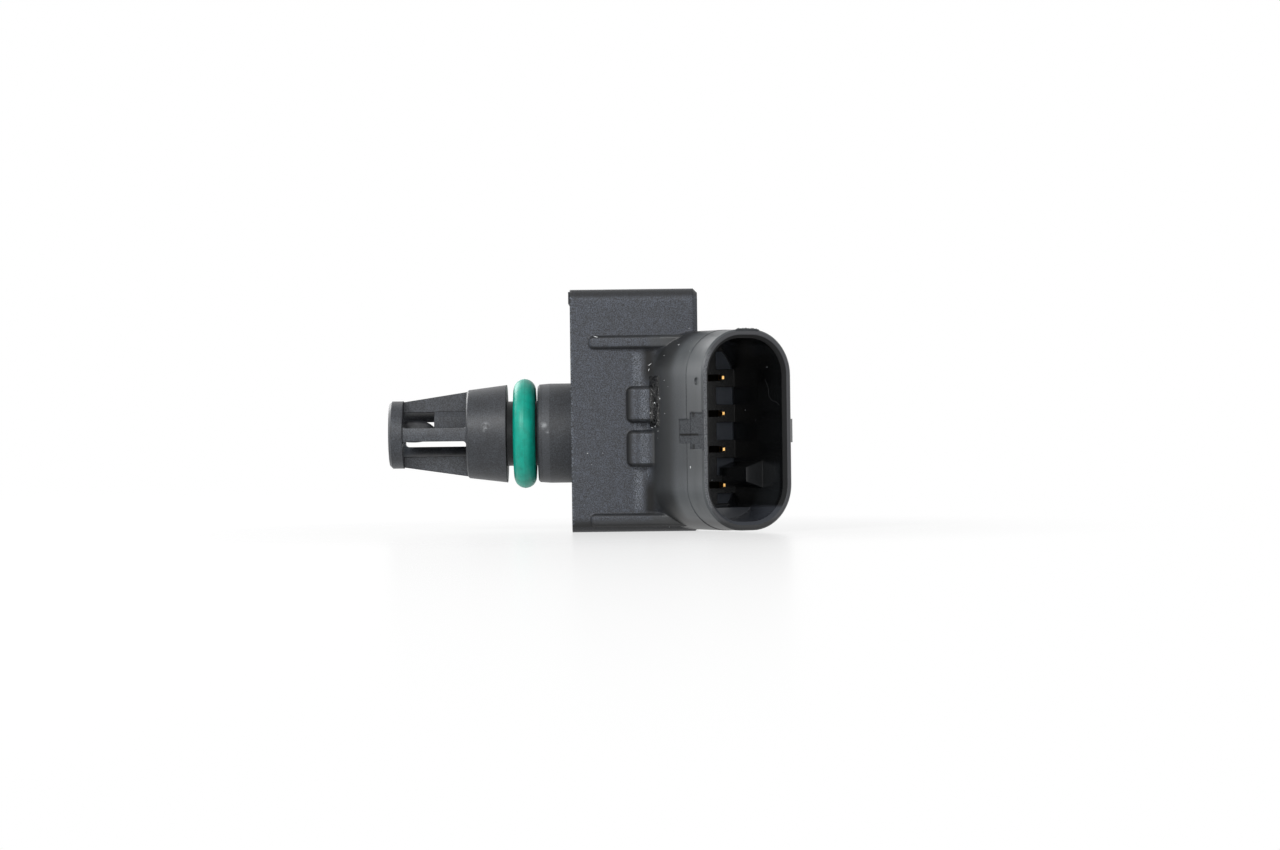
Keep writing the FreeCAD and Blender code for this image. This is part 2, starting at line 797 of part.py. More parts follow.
def bond_wires():
    """The fine ribbons that join the die to the chip, each one bent up over the gap."""
    die_top = board_start - pedestal_height - die_height
    chip_top = board_start - chip_height
    loop_top = die_top - wire_loop
    thick = wire_thickness
    near = wire_half_span
    far = near + wire_foot
    line = [(die_top, -far), (die_top, -near), (loop_top, -near / 2), (loop_top, near / 2),
            (chip_top, near), (chip_top, far)]
    outline = [(x, y) for x, y in line] + [(x - thick, y) for x, y in reversed(line)]
    ribbons = []
    for i in range(wire_count):
        z = -cell_offset + wire_pitch * (i - (wire_count - 1) / 2)
        ribbons.append(prism([(x, y, z - thick / 2) for x, y in outline], Vector(0, 0, thick)))
    return Part.makeCompound(ribbons)


def protective_gel():
    """The gel that covers the die, the chip and their wires."""
    disc = rod(cell_inner_radius, board_start - gel_height, board_start)
    inside = [glass_pedestal(), pressure_die(), signal_chip(), die_pit()]
    leads = [lead_wire(-1), lead_wire(1)]
    return biggest_solid(disc.cut(inside + leads + bond_wires().Solids))


def die_pit():
    """The closed space behind the die's membrane, which the gel doesn't reach."""
    back = board_start - pedestal_height
    return square(die_size, die_height, -cell_offset, -cell_offset, back)


def circuit_board():
    """The board that closes the chamber behind the cell and stands on the four posts."""
    gap = board_clearance
    board = block([board_start, board_end], [chamber_front + gap, chamber_rear - gap],
                  [chamber_bottom + gap, chamber_top - gap])
    return board.cut([lead_wire(-1), lead_wire(1)])


def capacitor(index):
    """One of the filter capacitors on the board's front, above the cell."""
    middle = (capacitor_count - 1) / 2
    y = capacitor_pitch * (index - middle)
    body = block([board_start - capacitor_height, board_start],
                 [y - capacitor_width / 2, y + capacitor_width / 2],
                 [capacitor_up - capacitor_length / 2, capacitor_up + capacitor_length / 2])
    return body.makeChamfer(capacitor_edge, body.Edges)


os.makedirs("parts", exist_ok=True)
pieces = {
    "housing": housing(),
    "pressure_port": pressure_port(),
    "o_ring": o_ring(),
    "mounting_bushing": mounting_bushing(),
    "port_adhesive": port_adhesive(),
    "cell_seal": cell_seal(),
    "cell_frame": cell_frame(),
    "glass_pedestal": glass_pedestal(),
    "pressure_die": pressure_die(),
    "signal_chip": signal_chip(),
    "bond_wires": bond_wires(),
    "protective_gel": protective_gel(),
    "circuit_board": circuit_board(),
    "thermistor_bead": thermistor_bead(),
    "thermistor_lead_1": lead_wire(-1),
    "thermistor_lead_2": lead_wire(1),
}
for number, height in enumerate(terminal_heights(), start=1):
    pieces["terminal_%d" % number] = terminal(height)
for number in range(capacitor_count):
    pieces["capacitor_%d" % (number + 1)] = capacitor(number)

for name, shape in pieces.items():
    shape.exportStep("parts/%s.step" % name)
    box = shape.BoundBox
    print("%-18s solids %d valid %s volume %.3f  X %.2f..%.2f Y %.2f..%.2f Z %.2f..%.2f" % (
        name, len(shape.Solids), shape.isValid(), shape.Volume,
        box.XMin, box.XMax, box.YMin, box.YMax, box.ZMin, box.ZMax))
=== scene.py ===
import math
import random

import bmesh
import bpy
from mathutils import Matrix, Vector, noise
from mathutils.bvhtree import BVHTree


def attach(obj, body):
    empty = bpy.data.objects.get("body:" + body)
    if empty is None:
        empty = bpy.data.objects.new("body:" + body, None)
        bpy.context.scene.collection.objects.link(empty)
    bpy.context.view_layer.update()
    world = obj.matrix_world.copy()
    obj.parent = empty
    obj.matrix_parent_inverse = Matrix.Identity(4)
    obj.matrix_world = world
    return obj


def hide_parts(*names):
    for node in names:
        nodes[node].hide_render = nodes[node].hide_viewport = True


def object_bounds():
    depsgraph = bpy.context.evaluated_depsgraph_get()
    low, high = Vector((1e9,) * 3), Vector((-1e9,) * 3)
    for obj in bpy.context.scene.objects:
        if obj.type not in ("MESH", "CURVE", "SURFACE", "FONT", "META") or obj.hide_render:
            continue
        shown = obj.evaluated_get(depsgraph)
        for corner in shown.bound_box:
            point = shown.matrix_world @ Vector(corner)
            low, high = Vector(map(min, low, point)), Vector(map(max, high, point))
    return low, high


# A manifold pressure and air temperature sensor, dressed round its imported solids. X runs
# along the probe, Z up, and the viewer looks along +Y. Lengths below are in millimetres.
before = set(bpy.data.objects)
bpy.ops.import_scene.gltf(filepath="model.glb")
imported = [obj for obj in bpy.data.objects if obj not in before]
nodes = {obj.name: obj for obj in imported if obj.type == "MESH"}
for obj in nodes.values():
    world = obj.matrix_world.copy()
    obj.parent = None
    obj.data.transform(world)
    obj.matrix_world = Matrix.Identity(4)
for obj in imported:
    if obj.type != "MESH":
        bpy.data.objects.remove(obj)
cad_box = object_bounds()
MM = 0.001

# Housing
# The real housing is one shot of glass-filled PBT with its shroud, ribs, pads and lug. The
# box comes from a spark-eroded mould and sparkles finely. The shroud's outside is smoother,
# and its hollow, which a polished steel core made, is painted nearly black as shade.
SPARK_GRAIN, SPARK_DEPTH = 0.12, 0.026
SHROUD_GRAIN, SHROUD_GRAIN_DEPTH = 0.10, 0.0018
SPARK_BLOTCH = 0.7
GRAIN_LOW, GRAIN_HIGH = 0.36, 0.68
SPARKLE_DARK, SPARKLE_BRIGHT = 0.15, 2.40
FLOW_STREAK = 2.4
NOISE_SHIFT = Vector((0.37, 0.21, 0.13))
# Painted light: where the shroud's skin starts and ends growing paler towards its ends, and how
# much
PAINTED_LIGHT_END_START, PAINTED_LIGHT_END_FULL, PAINTED_LIGHT_END_TONE = 4.0, 6.8, 1.62
DUST_SPACING = 1.3
DUST_SHARE, HOLLOW_DUST_SHARE = 0.045, 0.058
DUST_SOFTNESS = 0.015
# Shares of painted shade on the pads' flanks, under the lower rib and at the shroud's root
PAD_FLANK_SHADE, UNDER_RIB_SHADE, ROOT_SHADE = 0.95, 0.92, 0.85
EDGE_ROUND = 0.42
SHROUD_EDGE_ROUND = 0.20
HOLLOW_EDGE_ROUND = 0.07
# Painted shade on rounded edges off the shroud
EDGE_SHADE_TONE = (0.25, 0.25, 0.25)
# Painted highlight: how much paler the shoulder between the pads and the shroud is painted
SHOULDER_HIGHLIGHT_TONE = (2.4, 2.35, 2.2)
GLUE_WANDER = 0.5
PAD_SHIFT = 0.8
PBT_IOR = 1.48
SHROUD_HALF_WIDTH = 6.1
SHROUD_HALF_HEIGHT = 11.7
SHROUD_CORNER = 5.35
HOLLOW_CORNER = 4.7
SOCKET_TURN = math.radians(30)
MOUTH_CENTRE = Vector((20.58, -18.43, 0.15))
ACROSS = Vector((math.cos(SOCKET_TURN), math.sin(SOCKET_TURN), 0))
OUTWARD = Vector((math.sin(SOCKET_TURN), -math.cos(SOCKET_TURN), 0))
UPWARD = Vector((0, 0, 1))

# The zones of the skin, each bounded by soft steps: the measure, where the step starts and
# where it ends. Besides X, Y and Z, "across", "up" and "below" count from the middle of the
# socket's mouth and "off" is the size of "up". "corner" counts from the centre of a round
# corner, "past_pad" is X less the pads' step, and "wander" is X with a ragged edge.
ZONES = {
    "shroud": (("across", -6.6, -5.9), ("Y", -10.9, -12.1)),
    "hollow": (("corner", HOLLOW_CORNER + 0.05, HOLLOW_CORNER + 0.01), ("below", 0.0, 0.06)),
    "lead_in": (("below", 0.55, 0.45),),
    "low_hollow": (("up", -3.6, -4.2), ("below", 0.9, 1.3)),
    "ledge": (("up", -8.7, -9.2),),
    "pockets": (("below", 10.52, 10.57),),
    "marks": (("across", -6.03, -6.01), ("across", -5.75, -5.80), ("off", 2.35, 2.30),
              ("below", 0.02, 0.06), ("below", 5.40, 5.34), ("Y", -10.9, -12.1)),
    "mark_groove": (("below", 1.2, 1.3), ("up", -0.62, -0.56), ("up", -0.30, -0.36)),
    "mark_step_shade": (("across", -5.3, -5.6), ("off", 1.50, 1.62), ("off", 2.30, 2.20),
              ("below", 1.95, 2.1), ("below", 2.65, 2.5), ("Y", -10.9, -12.1)),
    "rim": (("below", 0.05, 0.02),),
    "rim_left": (("across", -4.6, -5.2),),
    "root": (("below", 5.7, 7.8),),
    "shoulder": (("Y", -10.2, -10.3), ("off", 9.5, 9.0), ("past_pad", 7.1, 7.6),
                 ("past_pad", 8.5, 8.1)),
    "crevice": (("Y", -10.2, -10.3), ("off", 10.3, 9.2), ("off", 4.7, 7.0), ("X", 8.2, 9.1),
                ("X", 10.4, 9.4)),
    "pad_flank": (("Y", -10.6, -10.75), ("off", 5.6, 5.3), ("X", 7.45, 6.85)),
    "under_rib": (("Y", -10.2, -10.3), ("Z", -9.9, -10.7)),
    "glue_line": (("wander", 0.02, -0.05), ("Y", -10.3, -10.4))}
PAD_FRONTS = (("Y", -10.7, -10.9), ("off", 5.5, 5.3))


def linear(colour):
    """A '#rrggbb' sRGB colour as Blender's linear red, green, blue and alpha."""
    channels = [int(colour[i:i + 2], 16) / 255 for i in (1, 3, 5)]
    return [c / 12.92 if c < 0.04045 else ((c + 0.055) / 1.055) ** 2.4 for c in channels] + [1.0]


def add_node(tree, kind, inputs=None, **settings):
    """A new node with its settings; each input is a value or the socket that feeds it."""
    node = tree.nodes.new(kind)
    for name, value in settings.items():
        setattr(node, name, value)
    for key, value in (inputs or {}).items():
        if isinstance(value, bpy.types.NodeSocket):
            tree.links.new(value, node.inputs[key])
        else:
            node.inputs[key].default_value = value
    return node


def new_material(name):
    """A material without nodes, its tree, and the place of each point in that tree."""
    material = bpy.data.materials.new(name)
    material.use_nodes = True
    tree = material.node_tree
    tree.nodes.clear()
    return material, tree, add_node(tree, "ShaderNodeTexCoord").outputs["Object"]


def surfaced(material, inputs):
    """The material, finished with a Principled shader that takes these inputs."""
    tree = material.node_tree
    shader = add_node(tree, "ShaderNodeBsdfPrincipled", inputs)
    add_node(tree, "ShaderNodeOutputMaterial", {"Surface": shader.outputs["BSDF"]})
    return material


def step_between(tree, value, start, end):
    """0 before start and 1 past end, with a soft change between them."""
    return add_node(tree, "ShaderNodeMapRange", {
        "Value": value, "From Min": start, "From Max": end},
        interpolation_type="SMOOTHSTEP").outputs["Result"]


def both(tree, *masks):
    """The product of several masks."""
    product = masks[0]
    for mask in masks[1:]:
        product = add_node(tree, "ShaderNodeMath", {0: product, 1: mask},
                           operation="MULTIPLY").outputs[0]
    return product


def within(tree, measures, limits):
    """The mask of a zone: the product of its soft steps, each in one of the measures."""
    return both(tree, *(step_between(tree, measures[name], start * MM, end * MM)
                        for name, start, end in limits))


def blend_value(tree, share, a, b):
    """Value a where the share is 0 and value b where it is 1."""
    return add_node(tree, "ShaderNodeMix", {"Factor": share, "A": a, "B": b},
                    data_type="FLOAT").outputs[0]


def blend_colour(tree, share, a, b):
    """Colour a where the share is 0 and colour b where it is 1."""
    return add_node(tree, "ShaderNodeMix", {
        "Factor": share, "A": a if isinstance(a, bpy.types.NodeSocket) else linear(a)[:3],
        "B": b if isinstance(b, bpy.types.NodeSocket) else linear(b)[:3]},
        data_type="VECTOR").outputs[1]


def coated(tree, colour, *coats):
    """The colour under its coats, each a mask and a colour, laid on in their order."""
    for mask, coat in coats:
        colour = blend_colour(tree, mask, colour, coat)
    return colour


def toned(tree, colour, tone):
    """The colour made lighter or darker by a factor."""
    return add_node(tree, "ShaderNodeVectorMath", {0: colour, 1: tone},
                    operation="MULTIPLY").outputs[0]


def distance_along(tree, place, start, direction):
    """How far each point lies from a start along a direction."""
    offset = add_node(tree, "ShaderNodeVectorMath", {0: place, 1: start * MM},
                      operation="SUBTRACT").outputs[0]
    return add_node(tree, "ShaderNodeVectorMath", {0: offset, 1: direction},
                    operation="DOT_PRODUCT").outputs["Value"]


def moved_back(tree, length, share, reach):
    """A length less a share of a reach, so that a step in it moves or turns ragged."""
    return add_node(tree, "ShaderNodeMath", {0: length, 1: both(tree, share, reach * MM)},
                    operation="SUBTRACT").outputs[0]


def on_edges(tree, rounded, start, end):
    """1 on rounded edges, where the bevelled normal departs from the true one."""
    true_normal = add_node(tree, "ShaderNodeNewGeometry").outputs["Normal"]
    agree = add_node(tree, "ShaderNodeVectorMath", {0: rounded, 1: true_normal},
                     operation="DOT_PRODUCT").outputs["Value"]
    return step_between(tree, agree, start, end)


def socket_measures(tree, place):
    """The lengths that bound the housing's zones, by name."""
    axes = add_node(tree, "ShaderNodeSeparateXYZ", {0: place}).outputs
    measures = {axis: axes[axis] for axis in "XYZ"}
    for name, direction in (("across", ACROSS), ("below", -OUTWARD), ("up", UPWARD)):
        measures[name] = distance_along(tree, place, MOUTH_CENTRE, direction)
    for name, signed in (("aside", "across"), ("off", "up")):
        measures[name] = add_node(tree, "ShaderNodeMath", {0: measures[signed]},
                                  operation="ABSOLUTE").outputs[0]
    past = []
    for name, half in (("aside", SHROUD_HALF_WIDTH), ("off", SHROUD_HALF_HEIGHT)):
        over = add_node(tree, "ShaderNodeMath", {
            0: measures[name], 1: (half - SHROUD_CORNER) * MM}, operation="SUBTRACT").outputs[0]
        past.append(add_node(tree, "ShaderNodeMath", {0: over, 1: 0.0},
                             operation="MAXIMUM").outputs[0])
    reach = add_node(tree, "ShaderNodeCombineXYZ", {0: past[0], 1: past[1]}).outputs[0]
    measures["corner"] = add_node(tree, "ShaderNodeVectorMath", {0: reach},
                                  operation="LENGTH").outputs["Value"]
    measures["past_pad"] = moved_back(tree, axes["X"], within(tree, measures, PAD_FRONTS),
                                      PAD_SHIFT)
    return measures


def dress(node, material):
    """Gives a CAD node its finished material."""
    nodes[node].data.materials.clear()
    nodes[node].data.materials.append(material)


def spark_eroded_pbt():
    """Dark grey PBT: sparkling grain on the box, satin on the shroud, polished in its hollow."""
    material, tree, place = new_material("spark_eroded_pbt")

    # Shifted, because the noise fades on the planes through the origin, where a flat face lies
    shifted = add_node(tree, "ShaderNodeMapping", {
        "Vector": place, "Location": NOISE_SHIFT * MM}).outputs[0]
    grain = add_node(tree, "ShaderNodeTexNoise", {
        "Vector": shifted, "Scale": 1 / (SPARK_GRAIN * MM), "Detail": 2.0,
        "Roughness": 0.7}).outputs["Fac"]
    blotch = add_node(tree, "ShaderNodeTexNoise", {
        "Vector": shifted, "Scale": 1 / (SPARK_BLOTCH * MM), "Detail": 3.0,
        "Roughness": 0.65}).outputs["Fac"]
    fine = add_node(tree, "ShaderNodeTexNoise", {
        "Vector": shifted, "Scale": 1 / (SHROUD_GRAIN * MM), "Detail": 1.0}).outputs["Fac"]
    drawn_out = add_node(tree, "ShaderNodeMapping", {
        "Vector": place, "Scale": (1, 1, 0.25)}).outputs[0]
    streak = add_node(tree, "ShaderNodeTexNoise", {
        "Vector": drawn_out, "Scale": 1 / (FLOW_STREAK * MM), "Detail": 5.0,
        "Roughness": 0.65}).outputs["Fac"]

    measures = socket_measures(tree, place)
    measures["wander"] = moved_back(tree, measures["X"], blotch, GLUE_WANDER)
    zone = {name: within(tree, measures, limits) for name, limits in ZONES.items()}
    smooth, hollow, marks = zone["shroud"], zone["hollow"], zone["marks"]
    rim = both(tree, smooth, zone["rim"])
    pockets = both(tree, hollow, zone["pockets"])

    # The box sparkles, and towards its round ends the shroud's skin is painted paler as painted
    # light from above and below
    box_colour = blend_colour(tree, step_between(tree, blotch, 0.30, 0.72), "#2e3137", "#343840")
    sparkle = add_node(tree, "ShaderNodeMapRange", {
        "Value": grain, "From Min": GRAIN_LOW, "From Max": GRAIN_HIGH,
        "To Min": SPARKLE_DARK, "To Max": SPARKLE_BRIGHT}).outputs[0]
    shroud_colour = blend_colour(tree, step_between(tree, streak, 0.3, 0.7), "#303335", "#3a3d3f")
    ends = add_node(tree, "ShaderNodeMapRange", {
        "Value": measures["off"], "From Min": PAINTED_LIGHT_END_START * MM,
        "From Max": PAINTED_LIGHT_END_FULL * MM, "To Min": 1.0, "To Max": PAINTED_LIGHT_END_TONE}).outputs[0]
    colour = blend_colour(tree, smooth, toned(tree, box_colour, sparkle),
                          toned(tree, shroud_colour, ends))

    # The sunk mould marks on the shroud's left wall are rough and mottled. Painted shade darkens
    # a groove across them and two spots where their steps meet the wall. The rim's flat was
    # wiped smooth by the plug but stays rough and pale at the left, and the pads' flanks are
    # darkened with painted shade
    colour = coated(
        tree, colour, (marks, "#232528"),
        (both(tree, marks, step_between(tree, grain, 0.44, 0.56)), "#44474b"),
        (both(tree, marks, zone["mark_groove"]), "#060607"),
        (both(tree, zone["mark_step_shade"], step_between(tree, grain, 0.42, 0.52)), "#030303"),
        (rim, "#36373b"),
        (both(tree, rim, zone["rim_left"], step_between(tree, grain, 0.42, 0.58)), "#6a6d71"),
        (both(tree, zone["pad_flank"], PAD_FLANK_SHADE), "#0c0d0e"))

    # Between the pads and the shroud the front rises in a shoulder with a painted highlight, and
    # painted shade darkens the crevice behind it, the strip under the lower rib and the shroud's
    # root. The hollow is painted near-black as shade, a little lighter in its lower part, and its
    # ledge and pockets are painted lighter where light falls on them
    shoulder_highlight = both(tree, zone["shoulder"], step_between(tree, grain, 0.30, 0.62))
    colour = coated(
        tree, colour, (shoulder_highlight, toned(tree, colour, SHOULDER_HIGHLIGHT_TONE)),
        (zone["crevice"], "#0a0a0b"),
        (both(tree, zone["under_rib"], UNDER_RIB_SHADE), "#101113"),
        (both(tree, smooth, zone["root"], ROOT_SHADE), "#0d0e0f"),
        (hollow, "#0c0d0e"),
        (both(tree, hollow, zone["low_hollow"]), "#191b1d"),
        (both(tree, hollow, zone["ledge"]), "#383b41"),
        (pockets, "#393e46"))

    # Rounded edges off the shroud are smoother, and they and the long rounds, where the normal
    # lies between two faces and tilts up or down, are darkened with painted shade
    radius = blend_value(tree, smooth, EDGE_ROUND * MM, SHROUD_EDGE_ROUND * MM)
    radius = blend_value(tree, hollow, radius, HOLLOW_EDGE_ROUND * MM)
    rounded = add_node(tree, "ShaderNodeBevel", {"Radius": radius}, samples=8).outputs[0]
    normal = add_node(tree, "ShaderNodeTexCoord").outputs["Normal"]
    facing = add_node(tree, "ShaderNodeSeparateXYZ", {0: normal}).outputs["Z"]
    steep = add_node(tree, "ShaderNodeMath", {0: facing}, operation="ABSOLUTE").outputs[0]
    on_round = both(tree, step_between(tree, steep, 0.2, 0.5), step_between(tree, steep, 1.0, 0.9))
    edge_shade = add_node(tree, "ShaderNodeMath", {
        0: on_edges(tree, rounded, 0.98, 0.85), 1: on_round}, operation="MAXIMUM").outputs[0]
    edge_shade = blend_value(tree, smooth, edge_shade, 0.0)

    # Sparse pale specks of dust, under a tenth of a millimetre
    cells = add_node(tree, "ShaderNodeTexVoronoi", {
        "Vector": place, "Scale": 1 / (DUST_SPACING * MM), "Randomness": 1.0}).outputs
    chosen = add_node(tree, "ShaderNodeSeparateColor", {0: cells["Color"]}).outputs[0]
    speck = blend_value(tree, hollow, DUST_SHARE, HOLLOW_DUST_SHARE)
    nearer = add_node(tree, "ShaderNodeMath", {0: speck, 1: cells["Distance"]},
                      operation="SUBTRACT").outputs[0]
    dust = both(tree, step_between(tree, nearer, 0.0, DUST_SOFTNESS),
                step_between(tree, chosen, 0.71, 0.73))

    # A ragged pale line of dried glue runs along the edge of the mounting face
    glue = both(tree, zone["glue_line"], step_between(tree, grain, 0.50, 0.58))
    # Painted shade on the rounded edges and long rounds, then the glue and the dust
    colour = coated(tree, colour, (edge_shade, toned(tree, colour, EDGE_SHADE_TONE)), (glue, "#646b75"),
                    (dust, "#a9adb2"))

    roughness = blend_value(tree, smooth, 0.50, 0.40)
    for mask, value in ((hollow, 0.20), (both(tree, hollow, zone["lead_in"]), 0.95),
                        (pockets, 0.55), (marks, 0.85), (zone["crevice"], 0.78)):
        roughness = blend_value(tree, mask, roughness, value)
    bump = add_node(tree, "ShaderNodeBump", {
        "Height": blend_value(tree, smooth, grain, fine),
        "Distance": blend_value(tree, smooth, SPARK_DEPTH * MM, SHROUD_GRAIN_DEPTH * MM),
        "Normal": rounded}).outputs[0]
    return surfaced(material, {"Base Color": colour, "Roughness": roughness, "Normal": bump,
                               "IOR": PBT_IOR})


PLASTIC = spark_eroded_pbt()
dress("housing", PLASTIC)

# Pressure port
# The probe is a second moulding of the same PBT in one piece with its base plate, from a
# polished mould, so it is smoother, with a satin skin and faint turning marks of the tool.
PORT_GRAIN, PORT_GRAIN_DEPTH = 0.13, 0.007
PORT_CLOUD = 1.6
GLITTER_DARK, GLITTER_BRIGHT = 0.5, 1.7
PORT_EDGE_ROUND = 0.18
# Painted shade on the port's rounded edges
PORT_EDGE_SHADE_TONE = (0.2, 0.2, 0.2)
# Where along X a tone starts and ends to change, and the tone before and after
CAGE_TONES = (-12.9, -12.5, 1.26, 0.88)
TIP_TONES = (-20.6, -20.2, 0.82, 1.0)
# Painted shade in the ring's groove: where it lies along X, and its tone
RING_GROOVE = (("X", -8.0, -7.9), ("X", -4.1, -4.2))
GROOVE_SHADE_TONE = 0.5
RUBBED_BAND = (("X", -3.65, -3.5), ("X", -2.65, -2.75))
RUBBED_SHARE = 0.22
FINE_SHARE = 0.8
# X, Z and reach of each scuff, all at one depth
SCUFFS = ((-10.3, 0.8, 0.8), (-3.4, 0.9, 0.6), (-3.0, 0.2, 0.4))
SCUFF_FRONT = -6.0
# The wave texture's phase grows by 20 radians per unit, and by one for each of these lengths
WAVE_RADIANS = 20
TURNING_RADIAN = 0.24


def satin_pbt():
    """The same PBT from a polished mould: satin, with faint rings left by the turned tool."""
    material, tree, place = new_material("satin_pbt")
    axes = add_node(tree, "ShaderNodeSeparateXYZ", {0: place}).outputs
    cloud = add_node(tree, "ShaderNodeTexNoise", {
        "Vector": place, "Scale": 1 / (PORT_CLOUD * MM), "Detail": 5.0,
        "Roughness": 0.7}).outputs["Fac"]
    shifted = add_node(tree, "ShaderNodeMapping", {
        "Vector": place, "Location": NOISE_SHIFT * MM}).outputs[0]
    fine = add_node(tree, "ShaderNodeTexNoise", {
        "Vector": shifted, "Scale": 1 / (PORT_GRAIN * MM), "Detail": 2.0}).outputs["Fac"]
    tone = add_node(tree, "ShaderNodeMapRange", {
        "Value": fine, "From Min": GRAIN_LOW, "From Max": GRAIN_HIGH,
        "To Min": GLITTER_DARK, "To Max": GLITTER_BRIGHT}).outputs[0]

    # The cage's thin ribs froze first and are paler, and the ring's groove is darkened with
    # painted shade
    for start, end, before, after in (CAGE_TONES, TIP_TONES):
        tone = both(tree, tone, add_node(tree, "ShaderNodeMapRange", {
            "Value": axes["X"], "From Min": start * MM, "From Max": end * MM,
            "To Min": before, "To Max": after}).outputs[0])
    tone = both(tree, tone, blend_value(tree, within(tree, axes, RING_GROOVE), 1.0, GROOVE_SHADE_TONE))
    colour = blend_colour(tree, step_between(tree, cloud, 0.3, 0.7), "#2b2d31", "#35383d")
    colour = toned(tree, colour, tone)

    # A rubbed band at the mouth of the inner collar, and pale scuffs on the front
    rubbed = both(tree, within(tree, axes, RUBBED_BAND), RUBBED_SHARE)
    colour = blend_colour(tree, rubbed, colour, "#5a5d62")
    for x, z, reach in SCUFFS:
        from_scuff = add_node(tree, "ShaderNodeVectorMath", {
            0: place, 1: Vector((x, SCUFF_FRONT, z)) * MM}, operation="SUBTRACT").outputs[0]
        flat = add_node(tree, "ShaderNodeVectorMath", {0: from_scuff, 1: (1, 0.2, 1)},
                        operation="MULTIPLY").outputs[0]
        away = add_node(tree, "ShaderNodeVectorMath", {0: flat}, operation="LENGTH")
        scuff = both(tree, step_between(tree, away.outputs["Value"], reach * MM,
                                        0.2 * reach * MM), step_between(tree, cloud, 0.40, 0.62))
        colour = blend_colour(tree, scuff, colour, "#a0a3a6")

    # Its edges, turned smooth, are darkened with painted shade against the faces between them
    rounded = add_node(tree, "ShaderNodeBevel", {"Radius": PORT_EDGE_ROUND * MM},
                       samples=8).outputs[0]
    edge_shade = on_edges(tree, rounded, 0.99, 0.88)
    rings = add_node(tree, "ShaderNodeTexWave", {
        "Vector": place, "Scale": 1 / (TURNING_RADIAN * MM) / WAVE_RADIANS, "Distortion": 0.6,
        "Detail": 1.0}, wave_type="BANDS", bands_direction="X").outputs["Fac"]
    bump = add_node(tree, "ShaderNodeBump", {
        "Height": blend_value(tree, FINE_SHARE, rings, fine), "Distance": PORT_GRAIN_DEPTH * MM,
        "Normal": rounded}).outputs[0]
    return surfaced(material, {
        "Base Color": blend_colour(tree, edge_shade, colour, toned(tree, colour, PORT_EDGE_SHADE_TONE)),
        "Roughness": blend_value(tree, edge_shade, 0.44, 0.90), "Normal": bump, "IOR": PBT_IOR})


dress("pressure_port", satin_pbt())

# Seal ring
# A moulded ring of green fluorosilicone rubber with a round section, stretched into the
# spigot's groove, where it lies flat. The two mould halves left a fine line round its waist.
RING_PLACE = -5.75
RING_SECTION = 1.34
RING_OUTER = 6.58
RING_SEAT = 3.905
RING_STEPS, SECTION_STEPS = 180, 96
MOULD_LINE_HEIGHT = 0.03
MOULD_LINE_WIDTH = 0.06
RUBBER_CLOUD = 1.1
RUBBER_SPECK, RUBBER_SPECK_DEPTH = 0.16, 0.004
BLOOM_SHARE = 0.5


def new_tree(name, sizes):
    """An empty Geometry Nodes tree with named sizes, and its group input and output."""
    tree = bpy.data.node_groups.new(name, "GeometryNodeTree")
    tree.interface.new_socket("Geometry", in_out="OUTPUT", socket_type="NodeSocketGeometry")
    for size in sizes:
        tree.interface.new_socket(size, in_out="INPUT", socket_type="NodeSocketFloat")
    return tree, add_node(tree, "NodeGroupInput").outputs, add_node(tree, "NodeGroupOutput")


def add_object(name, data):
    """A new object in the scene."""
    thing = bpy.data.objects.new(name, data)
    bpy.context.scene.collection.objects.link(thing)
    return thing


def plain_mesh(holder):
    """What an object shows, as a plain mesh; the object itself goes."""
    mesh = bpy.data.meshes.new_from_object(
        holder.evaluated_get(bpy.context.evaluated_depsgraph_get()))
    bpy.data.objects.remove(holder)
    return mesh


def settle(name, tree, sizes):
    """The tree's result at these sizes, as a plain mesh."""
    maker = add_object(name + "_maker", bpy.data.meshes.new(name + "_maker"))
    modifier = maker.modifiers.new("shape", "NODES")
    modifier.node_group = tree
    for item in tree.interface.items_tree:
        if item.in_out == "INPUT":
            modifier[item.identifier] = sizes[item.name]
    return plain_mesh(maker)


def place_piece(name, mesh, material, slot, *replaced):
    """A finished mesh as a piece that rides on the sensor, in place of CAD nodes if named."""
    mesh.name = name
    mesh.materials.clear()
    mesh.materials.append(material)
    piece = add_object(name, mesh)
    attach(piece, "root")
    if replaced:
        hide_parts(*replaced)


def moulded_rubber():
    """Fluorosilicone rubber: an even blue-green with a soft sheen and pale bloom in places."""
    material, tree, place = new_material("moulded_fluorosilicone")
    cloud = add_node(tree, "ShaderNodeTexNoise", {
        "Vector": place, "Scale": 1 / (RUBBER_CLOUD * MM), "Detail": 4.0, "Roughness": 0.6})
    specks = add_node(tree, "ShaderNodeTexNoise", {
        "Vector": place, "Scale": 1 / (RUBBER_SPECK * MM), "Detail": 1.0}).outputs["Fac"]
    colour = blend_colour(tree, step_between(tree, cloud.outputs["Fac"], 0.3, 0.7),
                          "#00907c", "#00a48f")
    bloom = both(tree, step_between(tree, specks, 0.66, 0.72), BLOOM_SHARE)
    bump = add_node(tree, "ShaderNodeBump", {
        "Height": specks, "Distance": RUBBER_SPECK_DEPTH * MM})
    return surfaced(material, {"Base Color": blend_colour(tree, bloom, colour, "#0fb8a4"),
                               "Roughness": 0.42, "Normal": bump.outputs[0], "IOR": 1.42})


RUBBER = moulded_rubber()


